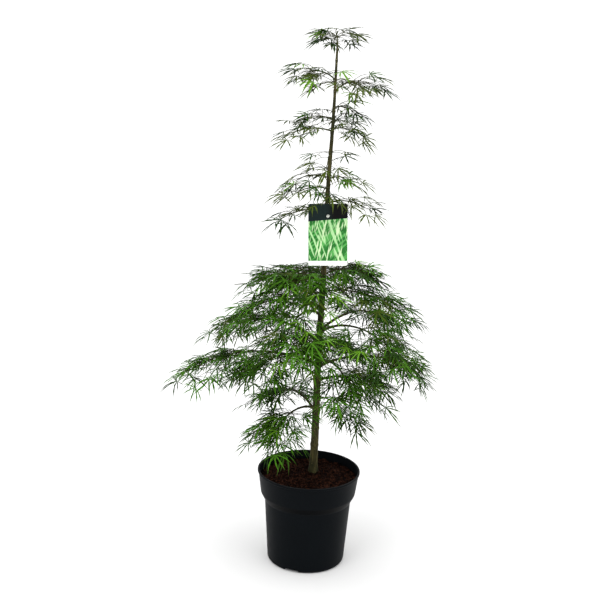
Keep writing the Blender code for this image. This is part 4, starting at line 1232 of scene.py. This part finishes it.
def pot_profile(crease):
    """The pot's profile as radius and height, from the notch's inner wall to the inner ledge.

    The heel is a quarter round: the radius grows with the sine, and the height with 1 - the cosine.
    """
    notch = BODY_FOOT_RADIUS - NOTCH_DEPTH
    turn = np.radians(np.linspace(0, 90, HEEL_POINTS))
    heel = [BODY_FOOT_RADIUS - HEEL_RADIUS * (1 - np.sin(turn)), HEEL_RADIUS * (1 - np.cos(turn))]
    heel = np.stack(heel, -1)
    side = rounded([
        heel[-1],
        (BODY_TOP_RADIUS, BODY_TOP_HEIGHT),
        (COLLAR_FOOT_RADIUS - crease, COLLAR_FOOT_HEIGHT - CREASE_BELOW),
        (COLLAR_FOOT_RADIUS, COLLAR_FOOT_HEIGHT + CREASE_ABOVE),
        (COLLAR_TOP_RADIUS, POT_HEIGHT - LIP_HEIGHT),
        (RIM_RADIUS, POT_HEIGHT - LIP_HEIGHT + LIP_BEVEL),
        (RIM_RADIUS, POT_HEIGHT),
        (COLLAR_TOP_RADIUS - WALL, POT_HEIGHT),
        (COLLAR_FOOT_RADIUS - WALL, COLLAR_FOOT_HEIGHT),
        (COLLAR_FOOT_RADIUS - WALL - INNER_LEDGE, COLLAR_FOOT_HEIGHT),
    ])
    return np.concatenate([[(notch, 0.0), (notch + NOTCH_WALL_LEAN, 0.0)], heel, side[1:]])


def pot_surface(settings):
    """The pot as a profile turned round the axis, with the foot lifted within each notch's angle."""
    profile = pot_profile(settings.crease)
    spacing = 360 / NOTCH_COUNT
    azimuths = np.arange(settings.sides) * (360 / settings.sides) + NOTCH_AZIMUTH - NOTCH_HALF_ANGLE
    walls = [NOTCH_AZIMUTH + spacing * i + way * (NOTCH_HALF_ANGLE + NOTCH_SIDE_ANGLE)
             for i in range(NOTCH_COUNT) for way in (-1, 1)]
    azimuths = np.sort(np.concatenate([azimuths % 360, np.array(walls) % 360]))
    from_notch = (azimuths - NOTCH_AZIMUTH + spacing / 2) % spacing - spacing / 2
    within = np.abs(from_notch) <= NOTCH_HALF_ANGLE + ANGLE_TOLERANCE
    radius = np.broadcast_to(profile[:, :1], (len(profile), len(azimuths)))
    height = np.broadcast_to(profile[:, 1:], radius.shape).copy()
    # The first point is the notch's inner wall at the foot, and stays down.
    lifted = height[1:]
    lifted[within & (lifted < NOTCH_HEIGHT)] = NOTCH_HEIGHT
    around = np.radians(azimuths)
    points = np.stack([radius * np.cos(around), radius * np.sin(around), height], -1).reshape(-1, 3)
    quads = grid_faces(len(profile), len(azimuths), closed=True)
    disc = fan(np.arange(len(azimuths)), len(points), turned=True)
    return np.concatenate([points, [[0.0, 0.0, 0.0]]]), quads, disc


class MAPLE_OT_pot(bpy.types.Operator):
    """Builds the round nursery pot"""

    bl_idname = "maple.pot"
    bl_label = "Pot"

    def execute(self, context):
        settings = context.scene.maple_pot
        points, quads, disc = pot_surface(settings)
        mesh = mesh_from("nursery_pot", points, [quads, disc])
        mesh.set_sharp_from_angle(angle=math.radians(SHARP_ANGLE))
        finish = moulded_polypropylene(rgba(settings.plastic))
        add_piece("nursery_pot", mesh, finish, ["pot"])
        return {"FINISHED"}


# ------------------------------------------------------------------ compost
# The top's grid: its rings, the points round each, the power that brings rings closer to the wall,
# and the gap at the wall
COMPOST_RINGS = 90
COMPOST_SIDES = 220
RING_POWER = 0.8
WALL_GAP = 0.0022
# The hidden edge under the top: its share of the radius and its drop, and the drop of its middle
EDGE_SHARE = 0.93
EDGE_DROP = 0.03
UNDER_DROP = 0.035
# Waves that make the lumps: length, direction in radians, and height as a share. Across its direction
# each wave turns by this many radians per length.
LUMPS = ((0.031, 0.3, 0.5), (0.019, 1.9, 0.5), (0.0113, 2.7, 0.35),
         (0.0071, 0.9, 0.3), (0.0047, 1.4, 0.22), (0.0033, 2.2, 0.15))
LUMP_CROSS = 4.1
# The level: how far the middle has settled, and the drop towards the wall at a distance out
SETTLED = 0.0012
WALL_DROP = 0.0045
WALL_DROP_AT = 0.1
WALL_DROP_POWER = 4

# Bark chips: start of their random draws, gap at the wall, mean and spread of the logarithm of their
# share of the usual length, longest length, and ranges of width over length and thickness over width
CHIP_SEED = 17
CHIP_WALL_GAP = 0.006
CHIP_LENGTHS = (-0.25, 0.45)
LONGEST_CHIP = 0.016
CHIP_WIDTHS = (0.16, 0.5)
CHIP_THICKNESSES = (0.25, 0.6)
# The spread of a chip's pitch in degrees, and of its roll as a share of its width
CHIP_TILT = 16
CHIP_ROLL = 0.3
# A chip's corners as shares of its length, width and thickness: round its edge, on top, and below
CHIP_CORNERS = ((-0.5, 0.0, 0.0), (-0.25, -0.5, 0.0), (0.3, -0.45, 0.0), (0.5, 0.1, 0.0),
                (0.3, 0.5, 0.0), (-0.25, 0.5, 0.0), (-0.05, 0.05, 0.5), (0.0, 0.0, -0.5))


class CompostSettings(bpy.types.PropertyGroup):
    """Sizes and colours of the compost and its bark chips."""

    relief: number_property("Relief", "Height of the lumps", 0.0026, "LENGTH")
    chips: IntProperty(name="Chips", description="Number of bark chips on top", default=2600)
    chip_length: number_property("Chip length", "Length of a usual chip", 0.0065, "LENGTH")
    dark: colour_property("Dark compost", "Colour in the hollows", "#040101")
    light: colour_property("Light compost", "Colour on the lumps", "#180c09")
    dark_chips: colour_property("Dark chips", "Colour of the darker chips", "#080302")
    light_chips: colour_property("Light chips", "Colour of the paler chips", "#2a170f")


def compost_height(x, y, relief):
    """The compost's height: level + half the relief times the lumps - a drop towards the wall.

    Each lump is a sine along its direction times a cosine across it, and the drop grows with a high
    power of the distance from the axis.
    """
    lumps = 0.0
    for length, turn, share in LUMPS:
        along = x * math.cos(turn) + y * math.sin(turn)
        across = y * math.cos(turn) - x * math.sin(turn)
        lumps = lumps + share * np.sin(along / length * math.tau) * np.cos(across / length * LUMP_CROSS)
    drop = WALL_DROP * (np.hypot(x, y) / WALL_DROP_AT) ** WALL_DROP_POWER
    return COMPOST_TOP - SETTLED + relief * lumps / 2 - drop


def compost_surface(settings):
    """The compost's top as rings out to near the wall, with a hidden edge under it that closes it."""
    outer = COLLAR_TOP_RADIUS - WALL - WALL_GAP
    radius = np.linspace(0, 1, COMPOST_RINGS)[1:, None] ** RING_POWER * outer
    turn = np.arange(COMPOST_SIDES)[None] * math.tau / COMPOST_SIDES
    x, y = radius * np.cos(turn), radius * np.sin(turn)
    top = np.stack([x, y, compost_height(x, y, settings.relief)], -1)
    edge = top[-1:] * np.array([EDGE_SHARE, EDGE_SHARE, 1.0]) - np.array([0.0, 0.0, EDGE_DROP])
    middle = [0.0, 0.0, compost_height(0.0, 0.0, settings.relief)]
    under = [0.0, 0.0, COMPOST_TOP - UNDER_DROP]
    points = np.concatenate([top, edge]).reshape(-1, 3)
    quads = grid_faces(COMPOST_RINGS, COMPOST_SIDES, closed=True)[:, ::-1]
    ring = np.arange(COMPOST_SIDES)
    last = (COMPOST_RINGS - 1) * COMPOST_SIDES
    fans = np.concatenate([fan(ring, len(points)), fan(last + ring, len(points) + 1, turned=True)])
    return np.concatenate([points, [middle, under]]), quads, fans


def chip_parts(settings):
    """Bark chips: flat six-sided slivers, pointed at both ends, turned and tilted on the compost."""
    rng = np.random.default_rng(CHIP_SEED)
    count = settings.chips
    radius = np.sqrt(rng.uniform(0, 1, count)) * (COLLAR_TOP_RADIUS - WALL - CHIP_WALL_GAP)
    turn = rng.uniform(0, math.tau, count)
    x, y = radius * np.cos(turn), radius * np.sin(turn)
    length = np.minimum(settings.chip_length * rng.lognormal(*CHIP_LENGTHS, count), LONGEST_CHIP)
    width = length * rng.uniform(*CHIP_WIDTHS, count)
    thick = width * rng.uniform(*CHIP_THICKNESSES, count)
    ahead = headings(rng.uniform(0, 360, count), rng.normal(0, CHIP_TILT, count))
    side = unit(np.cross([0.0, 0.0, 1.0], ahead) + rng.normal(0, CHIP_ROLL, (count, 3)))
    side = unit(side - ahead * np.sum(side * ahead, -1, keepdims=True))
    above = np.cross(ahead, side)
    shape = np.array(CHIP_CORNERS)
    centre = np.stack([x, y, compost_height(x, y, settings.relief) + thick * 0.5], -1)
    points = (centre[:, None] + ahead[:, None] * shape[None, :, :1] * length[:, None, None]
              + side[:, None] * shape[None, :, 1:2] * width[:, None, None]
              + above[:, None] * shape[None, :, 2:] * thick[:, None, None])
    edge = np.arange(len(shape) - 2)
    faces = np.concatenate([fan(edge, len(edge)), fan(edge, len(edge) + 1, turned=True)])
    shift = (np.arange(count) * len(shape))[:, None, None]
    return points.reshape(-1, 3), (faces + shift).reshape(-1, 3)


class MAPLE_OT_compost(bpy.types.Operator):
    """Builds the compost's lumpy top and the bark chips on it"""

    bl_idname = "maple.compost"
    bl_label = "Compost"

    def execute(self, context):
        settings = context.scene.maple_compost
        points, quads, fans = compost_surface(settings)
        add_piece("compost_top", mesh_from("compost_top", points, [quads, fans]),
                  bark_compost(rgba(settings.dark), rgba(settings.light)), ["compost"])
        points, faces = chip_parts(settings)
        add_piece("bark_chips", mesh_from("bark_chips", points, [faces], smooth=False),
                  chipped_bark(rgba(settings.dark_chips), rgba(settings.light_chips)))
        return {"FINISHED"}


# ------------------------------------------------------------------ stage
FLOOR_REACH = 60.0
# The lights' place and the side of their square, and the point that both face
KEY_PLACE = (-1.7, -2.6, 2.9)
KEY_SIZE = 1.8
FILL_PLACE = (2.4, -1.8, 1.6)
FILL_SIZE = 2.2
LIGHT_TARGET = (0.0, 0.0, 0.5)
# The camera's sensor in millimetres, and how far it sees, in metres
SENSOR_WIDTH = 36.0
CLIP_END = 200.0


class StageSettings(bpy.types.PropertyGroup):
    """Place and lens of the camera, colour of the floor, and powers of the lights."""

    camera_distance: number_property("Camera distance", "How far in front of the pot the camera stands",
                                     2.5, "LENGTH")
    camera_height: number_property("Camera height", "Height of the camera", 1.255, "LENGTH")
    camera_pitch: number_property("Camera pitch", "How far the camera looks down",
                                  math.radians(15.56), "ROTATION")
    camera_roll: number_property("Camera roll", "How far the camera is turned about its own axis",
                                 math.radians(2.36), "ROTATION")
    lens: number_property("Lens", "Focal length in millimetres", 78.5)
    shift: number_property("Shift", "Sideways shift of the picture as a share of its width", -0.0263)
    floor: colour_property("Floor", "Colour of the floor", "#c6c6c6")
    key_power: number_property("Key light", "Power of the main light in watts", 40.0)
    fill_power: number_property("Fill light", "Power of the light from the right in watts", 14.0)
    low_sky: number_property("Low sky", "Strength of the surroundings at eye level", 1.0)
    high_sky: number_property("High sky", "Strength of the surroundings overhead", 2.8)


def add_floor(settings):
    """A square floor at the pot's foot, which is no part of the plant."""
    corners = [(x * FLOOR_REACH, y * FLOOR_REACH, 0.0) for x, y in ((-1, -1), (1, -1), (1, 1), (-1, 1))]
    floor = bpy.data.objects.new("floor", mesh_from("floor", corners, [[(0, 1, 2, 3)]]))
    floor.data.materials.append(pale_floor(rgba(settings.floor)))
    bpy.context.scene.collection.objects.link(floor)


def soft_light(name, place, size, power):
    """A square area light that faces the middle of the plant."""
    light = bpy.data.lights.new(name, "AREA")
    light.size = size
    light.energy = power
    lamp = bpy.data.objects.new(name, light)
    lamp.location = place
    lamp.rotation_euler = (Vector(LIGHT_TARGET) - Vector(place)).to_track_quat("-Z", "Y").to_euler()
    bpy.context.scene.collection.objects.link(lamp)


def white_studio(settings):
    """White surroundings, whose strength goes from that at eye level to that overhead."""
    world = bpy.data.worlds.new("white_studio")
    world.use_nodes = True
    tree = world.node_tree
    direction = add_node(tree, "TexCoord").outputs["Generated"]
    height = add_node(tree, "SeparateXYZ", {"Vector": direction}).outputs["Z"]
    strength = {"Value": height, "To Min": settings.low_sky, "To Max": settings.high_sky}
    strength = add_node(tree, "MapRange", strength)
    fill_inputs(tree, tree.nodes["Background"], {"Color": WHITE, "Strength": strength})
    return world


def front_camera(settings):
    """A camera in front of the plant that looks down and is turned a little about its own axis."""
    optics = bpy.data.cameras.new("camera")
    optics.lens = settings.lens
    optics.sensor_width = SENSOR_WIDTH
    optics.shift_x = settings.shift
    optics.clip_end = CLIP_END
    camera = bpy.data.objects.new("camera", optics)
    turn = Matrix.Rotation(math.pi / 2 - settings.camera_pitch, 4, "X")
    turn = turn @ Matrix.Rotation(settings.camera_roll, 4, "Z")
    place = (0.0, -settings.camera_distance, settings.camera_height)
    camera.matrix_world = Matrix.Translation(place) @ turn
    bpy.context.scene.collection.objects.link(camera)
    return camera


class MAPLE_OT_stage(bpy.types.Operator):
    """Sets the pale floor, the soft light and the camera"""

    bl_idname = "maple.stage"
    bl_label = "Stage"

    def execute(self, context):
        settings = context.scene.maple_stage
        add_floor(settings)
        soft_light("key", KEY_PLACE, KEY_SIZE, settings.key_power)
        soft_light("fill", FILL_PLACE, FILL_SIZE, settings.fill_power)
        context.scene.world = white_studio(settings)
        context.scene.view_settings.view_transform = "Standard"
        context.scene.camera = front_camera(settings)
        return {"FINISHED"}


# ------------------------------------------------------------------ panel and start
class MAPLE_PT_panel(bpy.types.Panel):
    """Shows every setting and every operator"""

    bl_idname = "MAPLE_PT_panel"
    bl_label = "Potted maple"
    bl_space_type = "VIEW_3D"
    bl_region_type = "UI"
    bl_category = "Maple"

    def draw(self, context):
        for name in SETTINGS:
            box = self.layout.box()
            group = getattr(context.scene, name)
            for key in type(group).__annotations__:
                box.prop(group, key)
        for operator in OPERATORS:
            self.layout.operator(operator.bl_idname)


SETTINGS = {
    "maple_pot": PotSettings,
    "maple_compost": CompostSettings,
    "maple_bark": BarkSettings,
    "maple_leaf": LeafSettings,
    "maple_label": LabelSettings,
    "maple_stage": StageSettings,
}
OPERATORS = (MAPLE_OT_pot, MAPLE_OT_compost, MAPLE_OT_bark, MAPLE_OT_foliage, MAPLE_OT_label,
             MAPLE_OT_stage)


def register():
    """Registers every class, and puts the settings on the scene."""
    for kind in (*SETTINGS.values(), *OPERATORS, MAPLE_PT_panel):
        bpy.utils.register_class(kind)
    for name, kind in SETTINGS.items():
        setattr(bpy.types.Scene, name, PointerProperty(type=kind))


def unregister():
    """Takes the settings off the scene, and every class away again."""
    for name in SETTINGS:
        delattr(bpy.types.Scene, name)
    for kind in reversed((*SETTINGS.values(), *OPERATORS, MAPLE_PT_panel)):
        bpy.utils.unregister_class(kind)


def main():
    """Builds every piece and the stage."""
    register()
    bpy.ops.maple.pot()
    bpy.ops.maple.compost()
    bpy.ops.maple.bark()
    bpy.ops.maple.foliage()
    bpy.ops.maple.label()
    bpy.ops.maple.stage()


if __name__ == "__main__":
    main()
